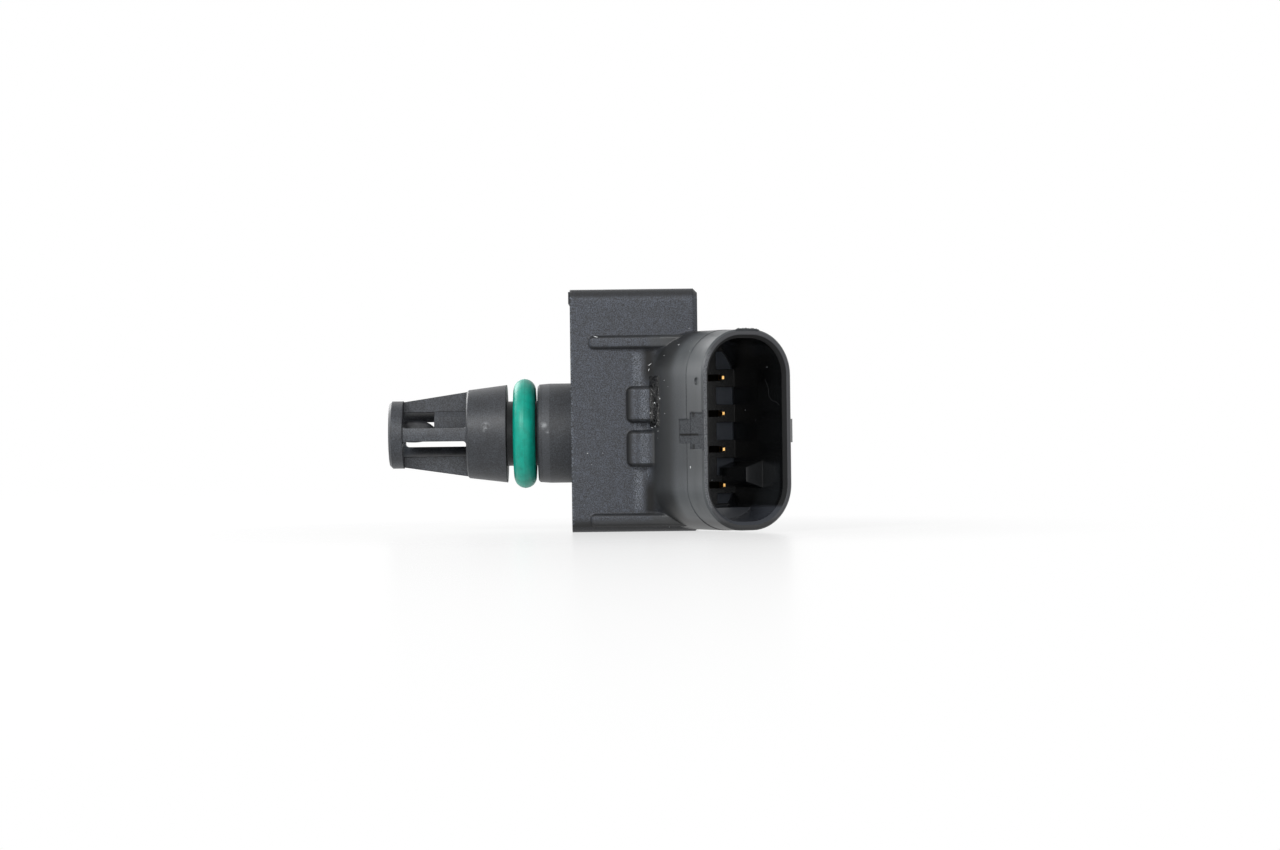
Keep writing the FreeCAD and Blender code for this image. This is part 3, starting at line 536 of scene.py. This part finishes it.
def ring_shape():
    """A round section swept round the probe, with its mould line and its flat inner side."""
    tree, sizes, output = new_tree("ring_shape", ["Place", "Middle", "Section", "Groove",
                                                  "Line height", "Line width"])
    circle = add_node(tree, "GeometryNodeCurvePrimitiveCircle", {
        "Resolution": RING_STEPS, "Radius": sizes["Middle"]})
    section = add_node(tree, "GeometryNodeCurvePrimitiveCircle", {
        "Resolution": SECTION_STEPS, "Radius": sizes["Section"]})
    swept = add_node(tree, "GeometryNodeCurveToMesh", {
        "Curve": circle.outputs[0], "Profile Curve": section.outputs[0]})
    turned = add_node(tree, "GeometryNodeTransform", {
        "Geometry": swept.outputs[0], "Rotation": (0, math.radians(90), 0)})
    position = add_node(tree, "GeometryNodeInputPosition").outputs[0]
    radial = add_node(tree, "ShaderNodeVectorMath", {0: position, 1: (0, 1, 1)},
                      operation="MULTIPLY").outputs[0]
    radius = add_node(tree, "ShaderNodeVectorMath", {0: radial}, operation="LENGTH")
    along = add_node(tree, "ShaderNodeSeparateXYZ", {0: position}).outputs["X"]
    offset = add_node(tree, "ShaderNodeMath", {0: along}, operation="ABSOLUTE").outputs[0]
    line = add_node(tree, "ShaderNodeMapRange", {
        "Value": offset, "From Min": sizes["Line width"], "From Max": 0.0,
        "To Min": 0.0, "To Max": sizes["Line height"]}, interpolation_type="SMOOTHSTEP")
    taller = add_node(tree, "ShaderNodeMath", {0: radius.outputs["Value"], 1: line.outputs[0]})
    seated = add_node(tree, "ShaderNodeMath", {0: taller.outputs[0], 1: sizes["Groove"]},
                      operation="MAXIMUM")
    unit = add_node(tree, "ShaderNodeVectorMath", {0: radial}, operation="NORMALIZE")
    outward = add_node(tree, "ShaderNodeVectorMath", {
        0: unit.outputs[0], "Scale": seated.outputs[0]}, operation="SCALE")
    axial = add_node(tree, "ShaderNodeMath", {0: along, 1: sizes["Place"]})
    shift = add_node(tree, "ShaderNodeCombineXYZ", {0: axial.outputs[0]})
    moved = add_node(tree, "ShaderNodeVectorMath", {0: outward.outputs[0], 1: shift.outputs[0]})
    placed = add_node(tree, "GeometryNodeSetPosition", {
        "Geometry": turned.outputs[0], "Position": moved.outputs[0]})
    smooth = add_node(tree, "GeometryNodeSetShadeSmooth", {"Geometry": placed.outputs[0]})
    real = add_node(tree, "GeometryNodeRealizeInstances", {"Geometry": smooth.outputs[0]})
    finish = add_node(tree, "GeometryNodeSetMaterial", {
        "Geometry": real.outputs[0], "Material": RUBBER})
    tree.links.new(finish.outputs[0], output.inputs[0])
    return tree


ring_mesh = settle("seal_ring", ring_shape(), {
    "Place": RING_PLACE * MM, "Middle": (RING_OUTER - RING_SECTION) * MM,
    "Section": RING_SECTION * MM, "Groove": RING_SEAT * MM,
    "Line height": MOULD_LINE_HEIGHT * MM, "Line width": MOULD_LINE_WIDTH * MM})
place_piece("seal_ring", ring_mesh, RUBBER, "ring_rubber", "o_ring")

# Mounting bushing
# A sleeve turned from free-cutting brass and moulded into the lug. It shows only its two
# ring-shaped ends and its bore, with fine rings from the lathe.
LATHE_RADIAN, LATHE_DEPTH = 0.12, 0.004
OXIDE_CLOUD = 0.9
BUSHING_PLACE = Vector((0, 20.0, 0))


def turned_brass():
    """Turned brass: yellow metal with rings round its own axis, a little dulled by oxide."""
    material, tree, place = new_material("turned_brass")
    centred = add_node(tree, "ShaderNodeMapping", {
        "Vector": place, "Location": -BUSHING_PLACE * MM}).outputs[0]
    rings = add_node(tree, "ShaderNodeTexWave", {
        "Vector": centred, "Scale": 1 / (LATHE_RADIAN * MM) / WAVE_RADIANS, "Distortion": 0.3},
        wave_type="RINGS", rings_direction="X")
    cloud = add_node(tree, "ShaderNodeTexNoise", {
        "Vector": place, "Scale": 1 / (OXIDE_CLOUD * MM), "Detail": 4.0}).outputs["Fac"]
    bump = add_node(tree, "ShaderNodeBump", {
        "Height": rings.outputs["Fac"], "Distance": LATHE_DEPTH * MM})
    return surfaced(material, {
        "Base Color": blend_colour(tree, step_between(tree, cloud, 0.35, 0.7),
                                   "#c9a765", "#a98a4f"),
        "Roughness": blend_value(tree, cloud, 0.20, 0.42), "Normal": bump.outputs[0],
        "Metallic": 1.0})


dress("mounting_bushing", turned_brass())

# Glue joints
# Silicone adhesive fills the groove round the port's base plate and seals the cell's frame.
# It is dark, soft and a little shiny, with a wavy surface where the bead was laid.
GLUE_WAVE, GLUE_WAVE_DEPTH = 1.5, 0.12


def silicone_adhesive():
    """Cured silicone glue: dark grey, glossy in places, with a slow wavy surface."""
    material, tree, place = new_material("silicone_adhesive")
    wave = add_node(tree, "ShaderNodeTexNoise", {
        "Vector": place, "Scale": 1 / (GLUE_WAVE * MM), "Detail": 3.0}).outputs["Fac"]
    bump = add_node(tree, "ShaderNodeBump", {"Height": wave, "Distance": GLUE_WAVE_DEPTH * MM})
    return surfaced(material, {
        "Base Color": blend_colour(tree, step_between(tree, wave, 0.35, 0.65),
                                   "#1d1f22", "#2a2c30"),
        "Roughness": blend_value(tree, wave, 0.18, 0.45), "Normal": bump.outputs[0],
        "IOR": 1.41})


GLUE = silicone_adhesive()
for name in ("port_adhesive", "cell_seal"):
    dress(name, GLUE)

# Resin smear, dust and flash
# A glossy drip of potting resin set between the pads and the shroud, with pale flecks in and round
# it; on the smear the flecks are residue and painted highlights of its glints. A ragged fin of
# moulding flash stands on the rim, and lint clings in the hollow.
SMEAR_LEFT, SMEAR_RIGHT = 9.25, 10.45
SMEAR_LOW, SMEAR_HIGH = 0.5, 6.7
SMEAR_STEP = 0.06
SMEAR_DEPTH = 0.16
SMEAR_SIDE_RISE, SMEAR_END_RISE = 4, 8
SMEAR_LUMPS = (1.8, 1.1)
SMEAR_LEVEL, SMEAR_CUT = 0.95, 0.10
SMEAR_UNDER = Vector((0, 0.02, 0))
RESIN_DROP, RESIN_DROP_DEPTH = 0.22, 0.12
SUNK = 0.04
FLECK_COUNT, SMEAR_FLECKS_AND_GLINTS = 34, 22
SMEAR_FLECK_AND_GLINT_AREA = (9.35, 10.15, 0.4, 6.6)
WIDE_FLECK_AREA = (9.0, 11.2, -1.8, 9.2)
# The two large flecks sit where the smear's brightest glints show: painted highlights as well as
# crumbs
GLINT_FLECK_SPOTS = ((9.50, 3.35), (10.00, 3.47))
FLECK_SMALLEST, FLECK_SPREAD, LARGE_FLECK = 0.028, 0.055, 0.10
# X, Z, half length and tilt in degrees of each stroke of residue
STROKES = ((3.02, 11.34, 0.33, -33), (12.77, 10.2, 0.30, -35), (9.37, 7.98, 0.36, 17),
           (9.25, 7.35, 0.20, 55), (13.9, -4.1, 0.16, 80), (1.9, -2.4, 0.10, 30))
STROKE_DEPTH, STROKE_WIDTH, STROKE_BEND = 0.025, 0.035, 0.18
STROKE_LIFT, STROKE_ROUND = 0.01, 0.03
FLASH_START, FLASH_END = -1.35, 1.75
FLASH_COLUMNS = 80
FLASH_HEIGHT = 0.12
FLASH_THICKNESS = 0.16
FLASH_INSET = 0.04
FLASH_LEVEL, FLASH_LOWEST, FLASH_END_RISE = 0.6, 0.25, 8
FLASH_WAVES = ((4.5, 1.7, 0.9), (13, 5.1, 0.4))
LINT_RADIUS = 0.011
# Depth below the mouth and height of each point that the fibre passes
LINT_PATH = ((3.87, 6.01), (3.18, 5.19), (3.20, 4.17), (2.49, 3.45), (1.68, 3.48), (0.99, 2.93))


def plain_finish(name, dark, light, grain, roughness, depth=0.0, metallic=0.0, ior=None,
                 transmission=0.0):
    """A material of two near shades in a grain of a real size, with an even roughness."""
    material, tree, place = new_material(name)
    cloud = add_node(tree, "ShaderNodeTexNoise", {
        "Vector": place, "Scale": 1 / (grain * MM), "Detail": 3.0,
        "Roughness": 0.6}).outputs["Fac"]
    bump = add_node(tree, "ShaderNodeBump", {"Height": cloud, "Distance": depth * MM})
    inputs = {"Base Color": blend_colour(tree, step_between(tree, cloud, 0.33, 0.67), dark, light),
              "Roughness": roughness, "Metallic": metallic, "Normal": bump.outputs[0],
              "Transmission Weight": transmission}
    return surfaced(material, {**inputs, "IOR": ior} if ior else inputs)


housing_mesh = nodes["housing"].data
housing_surface = BVHTree.FromPolygons([v.co for v in housing_mesh.vertices],
                                       [list(f.vertices) for f in housing_mesh.polygons])


def front_of_housing(x, z):
    """The point of the housing's skin that lies behind (x, z) on the front, and its normal."""
    spot, normal, _, _ = housing_surface.ray_cast(Vector((x, -100, z)) * MM, Vector((0, 1, 0)))
    return spot / MM, normal


def finished_mesh(name, shape):
    """The shape as a mesh."""
    mesh = bpy.data.meshes.new(name)
    shape.to_mesh(mesh)
    shape.free()
    return mesh


def closed_sheet(columns, rows, outside, inside):
    """A thin closed solid between two grids of points in millimetres."""
    shape = bmesh.new()
    top, low = ([[shape.verts.new(side(i, j) * MM) for j in range(rows)]
                 for i in range(columns)] for side in (outside, inside))
    for i in range(columns - 1):
        for j in range(rows - 1):
            shape.faces.new((top[i][j], top[i + 1][j], top[i + 1][j + 1], top[i][j + 1]))
            shape.faces.new((low[i][j], low[i][j + 1], low[i + 1][j + 1], low[i + 1][j]))
    border = ([(i, 0) for i in range(columns)] + [(columns - 1, j) for j in range(1, rows)]
              + [(i, rows - 1) for i in range(columns - 2, -1, -1)]
              + [(0, j) for j in range(rows - 2, 0, -1)])
    for (i, j), (k, l) in zip(border, border[1:] + border[:1]):
        shape.faces.new((top[k][l], top[i][j], low[i][j], low[k][l]))
    bmesh.ops.recalc_face_normals(shape, faces=shape.faces)
    for face in shape.faces:
        face.smooth = True
    return finished_mesh("sheet", shape)


def smear_point(i, j, rise):
    """A point of the smear's outside (rise 1) or of its underside in the housing (rise 0)."""
    x = SMEAR_LEFT + i * SMEAR_STEP
    z = SMEAR_LOW + j * SMEAR_STEP
    spot, normal = front_of_housing(x, z)
    across = 1 - abs(2 * (x - SMEAR_LEFT) / (SMEAR_RIGHT - SMEAR_LEFT) - 1)
    along = 1 - abs(2 * (z - SMEAR_LOW) / (SMEAR_HIGH - SMEAR_LOW) - 1)
    spread = Vector((x * SMEAR_LUMPS[0], z * SMEAR_LUMPS[1], 3.0))
    lumps = SMEAR_LEVEL + noise.fractal(spread, 1.0, 2.0, 3)
    film = (min(1.0, across * SMEAR_SIDE_RISE) * min(1.0, along * SMEAR_END_RISE)
            * max(0.0, lumps) - SMEAR_CUT)
    return spot + normal * (film * SMEAR_DEPTH if rise and film > 0 else -SUNK)


def wet_resin():
    """Cured epoxy resin: nearly black and wet, so it mirrors the lamps in bright points."""
    material, tree, place = new_material("wet_resin")
    drops = add_node(tree, "ShaderNodeTexNoise", {
        "Vector": place, "Scale": 1 / (RESIN_DROP * MM), "Detail": 2.0,
        "Roughness": 0.5}).outputs["Fac"]
    bump = add_node(tree, "ShaderNodeBump", {
        "Height": drops, "Distance": RESIN_DROP_DEPTH * MM})
    return surfaced(material, {
        "Base Color": blend_colour(tree, step_between(tree, drops, 0.4, 0.6),
                                   "#030304", "#0b0c0d"),
        "Roughness": 0.06, "Normal": bump.outputs[0], "IOR": 1.50})


smear_columns = round((SMEAR_RIGHT - SMEAR_LEFT) / SMEAR_STEP) + 1
smear_rows = round((SMEAR_HIGH - SMEAR_LOW) / SMEAR_STEP) + 1
place_piece("resin_smear", closed_sheet(
    smear_columns, smear_rows, lambda i, j: smear_point(i, j, 1),
    lambda i, j: smear_point(i, j, 0) + SMEAR_UNDER), wet_resin(), "adhesive")


def fleck_mesh():
    """Small pale crumbs on the skin, thick along the smear, where they also paint highlights of
    its glints, and sparse round it.
    """
    chance = random.Random(11)
    shape = bmesh.new()
    for index in range(FLECK_COUNT):
        left, right, low, high = SMEAR_FLECK_AND_GLINT_AREA if index < SMEAR_FLECKS_AND_GLINTS else WIDE_FLECK_AREA
        x, z = chance.uniform(left, right), chance.uniform(low, high)
        size = FLECK_SMALLEST + FLECK_SPREAD * chance.random() ** 2
        if index < len(GLINT_FLECK_SPOTS):
            (x, z), size = GLINT_FLECK_SPOTS[index], LARGE_FLECK
        spot, normal = front_of_housing(x, z)
        crumb = bmesh.ops.create_icosphere(shape, subdivisions=1, radius=1.0)["verts"]
        stretch = Vector((size, size * 0.5, size * chance.uniform(1.0, 2.2)))
        turn = Matrix.Rotation(chance.uniform(0, 3.1), 3, "Y")
        for corner in crumb:
            shaped = Vector([corner.co[k] * stretch[k] * chance.uniform(0.8, 1.2)
                             for k in range(3)])
            corner.co = (spot + normal * size * 0.3 + turn @ shaped) * MM
    for x, z, reach, tilt in STROKES:
        spot, normal = front_of_housing(x, z)
        turn = Matrix.Rotation(math.radians(-tilt), 3, "Y")
        for corner in bmesh.ops.create_icosphere(shape, subdivisions=2, radius=1.0)["verts"]:
            shaped = Vector((corner.co.x * reach, corner.co.y * STROKE_DEPTH,
                             corner.co.z * STROKE_WIDTH))
            shaped.z += STROKE_BEND * reach * (corner.co.x ** 2 - 0.5)
            shaped = turn @ shaped
            lie = shaped - normal * shaped.dot(normal)
            rise = STROKE_LIFT + STROKE_ROUND * corner.co.y
            corner.co = (spot + lie + normal * rise) * MM
    return finished_mesh("flecks", shape)


# Dried flux and lint, and the smear's painted highlights: chalky white, with a faint grain
CHALKY = plain_finish("chalky_residue_and_glints", "#d9dcde", "#f4f6f7", 0.05, 0.35, 0.01, ior=1.5)
place_piece("residue_and_glint_flecks", fleck_mesh(), CHALKY, "adhesive")


def shroud_outline(along):
    """The height of the shroud's outside above its middle, at a place across it."""
    past = max(0.0, abs(along) - (SHROUD_HALF_WIDTH - SHROUD_CORNER))
    return SHROUD_HALF_HEIGHT - SHROUD_CORNER + math.sqrt(SHROUD_CORNER ** 2 - past ** 2)


def flash_point(i, j, outside):
    """A point of the flash: a ragged fin that continues the rim's outer edge upwards."""
    share = i / (FLASH_COLUMNS - 1)
    along = FLASH_START + (FLASH_END - FLASH_START) * share
    ragged = FLASH_LEVEL + sum(height * noise.noise(Vector((along * rate, row, 0)))
                               for rate, row, height in FLASH_WAVES)
    ends = min(1.0, FLASH_END_RISE * share, FLASH_END_RISE * (1 - share))
    height = FLASH_HEIGHT * max(FLASH_LOWEST, min(1.0, ragged)) * ends
    rise = height if j else -3 * SUNK
    back = FLASH_INSET + (0.0 if outside else FLASH_THICKNESS)
    return (MOUTH_CENTRE + ACROSS * along + UPWARD * (shroud_outline(along) + rise)
            - OUTWARD * back)


place_piece("rim_flash", closed_sheet(FLASH_COLUMNS, 2, lambda i, j: flash_point(i, j, True),
                                      lambda i, j: flash_point(i, j, False)),
            PLASTIC, "housing_plastic")


def lint_mesh():
    """A fine fibre that lies on the hollow's right wall."""
    curve = bpy.data.curves.new("lint", "CURVE")
    curve.dimensions = "3D"
    spline = curve.splines.new("NURBS")
    spline.points.add(len(LINT_PATH) - 1)
    for point, (depth, up) in zip(spline.points, LINT_PATH):
        middle = MOUTH_CENTRE - OUTWARD * depth + UPWARD * (up - MOUTH_CENTRE.z)
        spot, normal, _, _ = housing_surface.ray_cast(middle * MM, ACROSS)
        point.co = (*(spot + normal * LINT_RADIUS * MM), 1.0)
    spline.order_u = 3
    spline.use_endpoint_u = True
    curve.bevel_depth = LINT_RADIUS * MM
    curve.bevel_resolution = 2
    curve.use_fill_caps = True
    return plain_mesh(add_object("lint", curve))


# Grey cotton lint, dull and soft
LINT = plain_finish("grey_lint", "#26282a", "#333537", 0.1, 0.7, ior=1.5)
place_piece("lint_fibre", lint_mesh(), LINT, "adhesive")

# Pressure cell
# Inside the case a silicon die stands on glass in a moulded ring, wired to its amplifier chip
# and covered with clear gel. The board closes the ring and carries four ceramic capacitors.

# Black liquid-crystal polymer, moulded: dull, with pale flow marks
dress("cell_frame", plain_finish("moulded_lcp", "#1b1b1c", "#262627", 0.5, 0.45, 0.004, ior=1.6))
# Borosilicate glass, sawn from a wafer: clear, with a faint green tint and dull sides
dress("glass_pedestal", plain_finish("sawn_borosilicate", "#dfe9e4", "#eef4f1", 0.2, 0.15,
                                     0.002, ior=1.47, transmission=0.9))
# Silicon, polished: a dark blue-grey mirror
SILICON = plain_finish("polished_silicon", "#50545e", "#5d626d", 0.3, 0.12, metallic=0.9)
for name in ("pressure_die", "signal_chip"):
    dress(name, SILICON)
# Aluminium bond wire, drawn: bright, with fine die lines
dress("bond_wires", plain_finish("drawn_aluminium", "#c9cacc", "#dcdddf", 0.05, 0.25,
                                 metallic=1.0))
# Silicone gel, poured and cured: clear and very smooth
dress("protective_gel", plain_finish("poured_silicone_gel", "#e4e6e6", "#f2f3f3", 1.5, 0.05,
                                     0.01, ior=1.40, transmission=1.0))
# Glass-epoxy board under green solder mask: the weave shows through as a fine mottle
dress("circuit_board", plain_finish("masked_fr4", "#1d4a33", "#245a3f", 0.35, 0.35, 0.006,
                                    ior=1.5))
# Barium titanate ceramic, fired: matt tan with dark grains
CERAMIC = plain_finish("fired_titanate", "#8c7355", "#a58a68", 0.12, 0.55, 0.003, ior=1.6)
for index in range(1, 5):
    dress("capacitor_%d" % index, CERAMIC)

# Thermistor
# The air temperature sensor in the cage: a bead dipped in dark epoxy, which ran down its two
# tinned leads as a long drop and cured with a smooth, slightly uneven skin.
BEAD_NOSE = -21.15
BEAD_TAIL = -16.7
BEAD_RADIUS = 1.4
BEAD_FULLNESS = 3.5
BEAD_TAIL_RADIUS = 0.46
BEAD_UP = 0.4
BEAD_RINGS = 44
BEAD_SEGMENTS = 56
BEAD_UNEVEN = 0.05
EPOXY_CLOUD, EPOXY_DEPTH = 0.5, 0.02


def bead_radius_at(x):
    """The drop's radius: a ball at the nose, full for most of its length, narrow at its tail."""
    centre = BEAD_NOSE + BEAD_RADIUS
    if x < centre:
        return math.sqrt(max(0.0, BEAD_RADIUS ** 2 - (centre - x) ** 2))
    share = (x - centre) / (BEAD_TAIL - centre)
    return BEAD_RADIUS + (BEAD_TAIL_RADIUS - BEAD_RADIUS) * share ** BEAD_FULLNESS


def bead_mesh():
    """The drop as rings of points round its axis, closed at the nose and the tail."""
    shape = bmesh.new()
    rings = []
    for i in range(1, BEAD_RINGS + 1):
        share = (1 - math.cos(math.pi * i / BEAD_RINGS / 2)) if i < BEAD_RINGS else 1.0
        x = BEAD_NOSE + (BEAD_TAIL - BEAD_NOSE) * share
        ring = []
        for j in range(BEAD_SEGMENTS):
            angle = 2 * math.pi * j / BEAD_SEGMENTS
            side = Vector((0, math.cos(angle), math.sin(angle)))
            swell = noise.noise(Vector((x * 0.6, 0, 0)) + side * 0.7) * BEAD_UNEVEN
            radius = bead_radius_at(x) * (1 - BEAD_UNEVEN + swell)
            ring.append(shape.verts.new((Vector((x, 0, BEAD_UP)) + side * radius) * MM))
        rings.append(ring)
    nose = shape.verts.new(Vector((BEAD_NOSE, 0, BEAD_UP)) * MM)
    for j in range(BEAD_SEGMENTS):
        k = (j + 1) % BEAD_SEGMENTS
        shape.faces.new((nose, rings[0][j], rings[0][k]))
        for before, after in zip(rings[:-1], rings[1:]):
            shape.faces.new((before[j], after[j], after[k], before[k]))
    shape.faces.new(rings[-1])
    bmesh.ops.recalc_face_normals(shape, faces=shape.faces)
    for face in shape.faces:
        face.smooth = len(face.verts) < 5
    return finished_mesh("bead", shape)


def dipped_epoxy():
    """Dipped epoxy: dark grey-brown, glossy under a thin film of dust."""
    material, tree, place = new_material("dipped_epoxy")
    cloud = add_node(tree, "ShaderNodeTexNoise", {
        "Vector": place, "Scale": 1 / (EPOXY_CLOUD * MM), "Detail": 4.0}).outputs["Fac"]
    bump = add_node(tree, "ShaderNodeBump", {"Height": cloud, "Distance": EPOXY_DEPTH * MM})
    return surfaced(material, {
        "Base Color": blend_colour(tree, step_between(tree, cloud, 0.35, 0.7),
                                   "#232427", "#3a3b3e"),
        "Roughness": blend_value(tree, cloud, 0.22, 0.55), "Normal": bump.outputs[0],
        "IOR": 1.55})


place_piece("epoxy_drop", bead_mesh(), dipped_epoxy(), "bead_epoxy", "thermistor_bead")
# Tinned copper wire, drawn: silvery, with dull patches of oxide
TINNED = plain_finish("tinned_copper", "#a9aaab", "#c6c7c8", 0.2, 0.33, 0.002, metallic=1.0)
for name in ("thermistor_lead_1", "thermistor_lead_2"):
    dress(name, TINNED)

# Terminals
# Four blades stamped from brass strip, with coined tips. The tips were rubbed bright, and the
# flanks have the brown tarnish of bare brass, darkened further with painted shade.
TIP_PLACE = MOUTH_CENTRE - OUTWARD * 5.33
BRIGHT_START, BRIGHT_END = 0.2, 0.5
BRIGHT_WANDER = 0.5
TARNISH_PATCH = 0.35
STAMPED_LINE, STAMPED_DEPTH = 0.12, 0.02


def stamped_brass():
    """Stamped brass: bright worn tips, brown tarnished flanks darkened with painted shade, with
    fine lines along them.
    """
    material, tree, place = new_material("stamped_brass")
    patch = add_node(tree, "ShaderNodeTexNoise", {
        "Vector": place, "Scale": 1 / (TARNISH_PATCH * MM), "Detail": 4.0,
        "Roughness": 0.7}).outputs["Fac"]
    below = distance_along(tree, place, TIP_PLACE, -OUTWARD)
    tarnish_and_shade = step_between(tree, moved_back(tree, below, patch, BRIGHT_WANDER),
                           BRIGHT_START * MM, BRIGHT_END * MM)
    colour = blend_colour(tree, step_between(tree, patch, 0.4, 0.6), "#e8b873", "#c99a58")
    lines = add_node(tree, "ShaderNodeTexNoise", {
        "Vector": place, "Scale": 1 / (STAMPED_LINE * MM), "Detail": 2.0})
    bump = add_node(tree, "ShaderNodeBump", {
        "Height": lines.outputs["Fac"], "Distance": STAMPED_DEPTH * MM})
    return surfaced(material, {
        # Brown tarnish on the flanks, darkened further with painted shade
        "Base Color": blend_colour(tree, tarnish_and_shade, colour, "#2e2619"),
        "Roughness": blend_value(tree, tarnish_and_shade, 0.22, 0.5), "Normal": bump.outputs[0],
        "Metallic": 1.0})


BRASS = stamped_brass()
for index in range(1, 5):
    dress("terminal_%d" % index, BRASS)

# Floor, backdrop, lamps and camera
# A white table with a white surround, lit softly from the upper left, with weaker light from
# the front, the right, the left and behind. The camera stands 43 cm away with a long lens.
FLOOR_GAP = 0.02
FLOOR_REACH = 2000
BOARD_REACH, BOARD_FADE, BOARD_WHITE = 30, 75, 0.84
GLOSS_FADE = 300
TABLE_GLOSS = 0.28
TABLE_ROUGHNESS = 0.24
GRAZING_POWER = 6.0
SKY_LOW, SKY_HIGH = 0.10, 0.60
HORIZON_LIGHT, OVERHEAD_LIGHT = 0.45, 0.30
LAMP_AIM = (5, 0, 0)
# The place, the side and the power of each lamp
LAMPS = {"key_lamp": ((-260, -380, 240), 170, 1.5), "front_lamp": ((60, -560, 90), 380, 0.6),
         "fill_lamp": ((420, -300, 60), 320, 0.3), "side_lamp": ((-430, 260, 90), 420, 1.7),
         "back_lamp": ((-280, 440, 290), 260, 1.0)}
CAMERA_PLACE = Vector((8.13, -430.0, 0.86))
CAMERA_LENS = 100.0
CAMERA_SENSOR = 36.0
CAMERA_NEAR = 10.0
CAMERA_ROLL = math.radians(-0.7)


def seen_by_eye(tree):
    """1 where a ray shows the surface itself: straight, mirrored or through glass."""
    ray = add_node(tree, "ShaderNodeLightPath").outputs
    seen = ray["Is Camera Ray"]
    for kind in ("Is Glossy Ray", "Is Transmission Ray"):
        seen = add_node(tree, "ShaderNodeMath", {0: seen, 1: ray[kind]},
                        operation="MAXIMUM").outputs[0]
    return seen


def white_table():
    """White for the eye further out, and near the sensor a white board with its shadow and a
    faint blurred reflection."""
    material, tree, place = new_material("white_table")
    board = add_node(tree, "ShaderNodeBsdfDiffuse", {"Color": (0.8, 0.8, 0.8, 1)})
    paper = add_node(tree, "ShaderNodeEmission", {"Color": (1, 1, 1, 1), "Strength": 1.0})
    away = add_node(tree, "ShaderNodeVectorMath", {0: place}, operation="LENGTH").outputs["Value"]
    far = add_node(tree, "ShaderNodeMapRange", {
        "Value": away, "From Min": BOARD_REACH * MM, "From Max": BOARD_FADE * MM,
        "To Min": BOARD_WHITE, "To Max": 1.0}, interpolation_type="SMOOTHSTEP").outputs[0]
    plain = add_node(tree, "ShaderNodeMixShader", {
        0: both(tree, seen_by_eye(tree), far), 1: board.outputs[0], 2: paper.outputs[0]})
    polish = add_node(tree, "ShaderNodeBsdfAnisotropic", {
        "Color": (1, 1, 1, 1), "Roughness": TABLE_ROUGHNESS})
    gloss = add_node(tree, "ShaderNodeMapRange", {
        "Value": away, "From Min": BOARD_REACH * MM, "From Max": GLOSS_FADE * MM,
        "To Min": TABLE_GLOSS, "To Max": 0.0}).outputs[0]
    facing = add_node(tree, "ShaderNodeLayerWeight", {"Blend": 0.5}).outputs["Facing"]
    grazing = add_node(tree, "ShaderNodeMath", {0: facing, 1: GRAZING_POWER},
                       operation="POWER").outputs[0]
    table = add_node(tree, "ShaderNodeMixShader", {
        0: both(tree, gloss, grazing), 1: plain.outputs[0], 2: polish.outputs[0]})
    add_node(tree, "ShaderNodeOutputMaterial", {"Surface": table.outputs[0]})
    return material


floor_mesh = bpy.data.meshes.new("floor")
low = cad_box[0].z - FLOOR_GAP * MM
reach = FLOOR_REACH * MM
floor_mesh.from_pydata([(-reach, -reach, low), (reach, -reach, low), (reach, reach, low),
                        (-reach, reach, low)], [], [(0, 1, 2, 3)])
floor = add_object("floor", floor_mesh)
floor.data.materials.append(white_table())

# The surround is white to the eye, and as a light it is dimmer overhead than at the horizon
world = bpy.data.worlds.new("white_surround")
bpy.context.scene.world = world
world.use_nodes = True
sky = world.node_tree
sky.nodes.clear()
direction = add_node(sky, "ShaderNodeTexCoord").outputs["Generated"]
upward = add_node(sky, "ShaderNodeSeparateXYZ", {0: direction}).outputs["Z"]
ceiling = add_node(sky, "ShaderNodeMapRange", {
    "Value": upward, "From Min": SKY_LOW, "From Max": SKY_HIGH, "To Min": HORIZON_LIGHT,
    "To Max": OVERHEAD_LIGHT}, interpolation_type="SMOOTHSTEP").outputs[0]
background = add_node(sky, "ShaderNodeBackground", {
    "Color": (1, 1, 1, 1), "Strength": blend_value(sky, seen_by_eye(sky), ceiling, 1.0)})
add_node(sky, "ShaderNodeOutputWorld", {"Surface": background.outputs[0]})

for name, (place, size, power) in LAMPS.items():
    light = bpy.data.lights.new(name, "AREA")
    light.size = size * MM
    light.energy = power
    lamp = add_object(name, light)
    lamp.location = Vector(place) * MM
    aim = Vector(LAMP_AIM) * MM - lamp.location
    lamp.rotation_euler = aim.to_track_quat("-Z", "Y").to_euler()

camera_data = bpy.data.cameras.new("camera")
camera_data.lens = CAMERA_LENS
camera_data.sensor_width = CAMERA_SENSOR
camera_data.clip_start = CAMERA_NEAR * MM
camera = add_object("camera", camera_data)
camera.matrix_world = (Matrix.Translation(CAMERA_PLACE * MM)
                       @ Matrix.Rotation(math.radians(90), 4, "X")
                       @ Matrix.Rotation(CAMERA_ROLL, 4, "Z"))
bpy.context.scene.camera = camera
bpy.context.scene.view_settings.view_transform = "Standard"
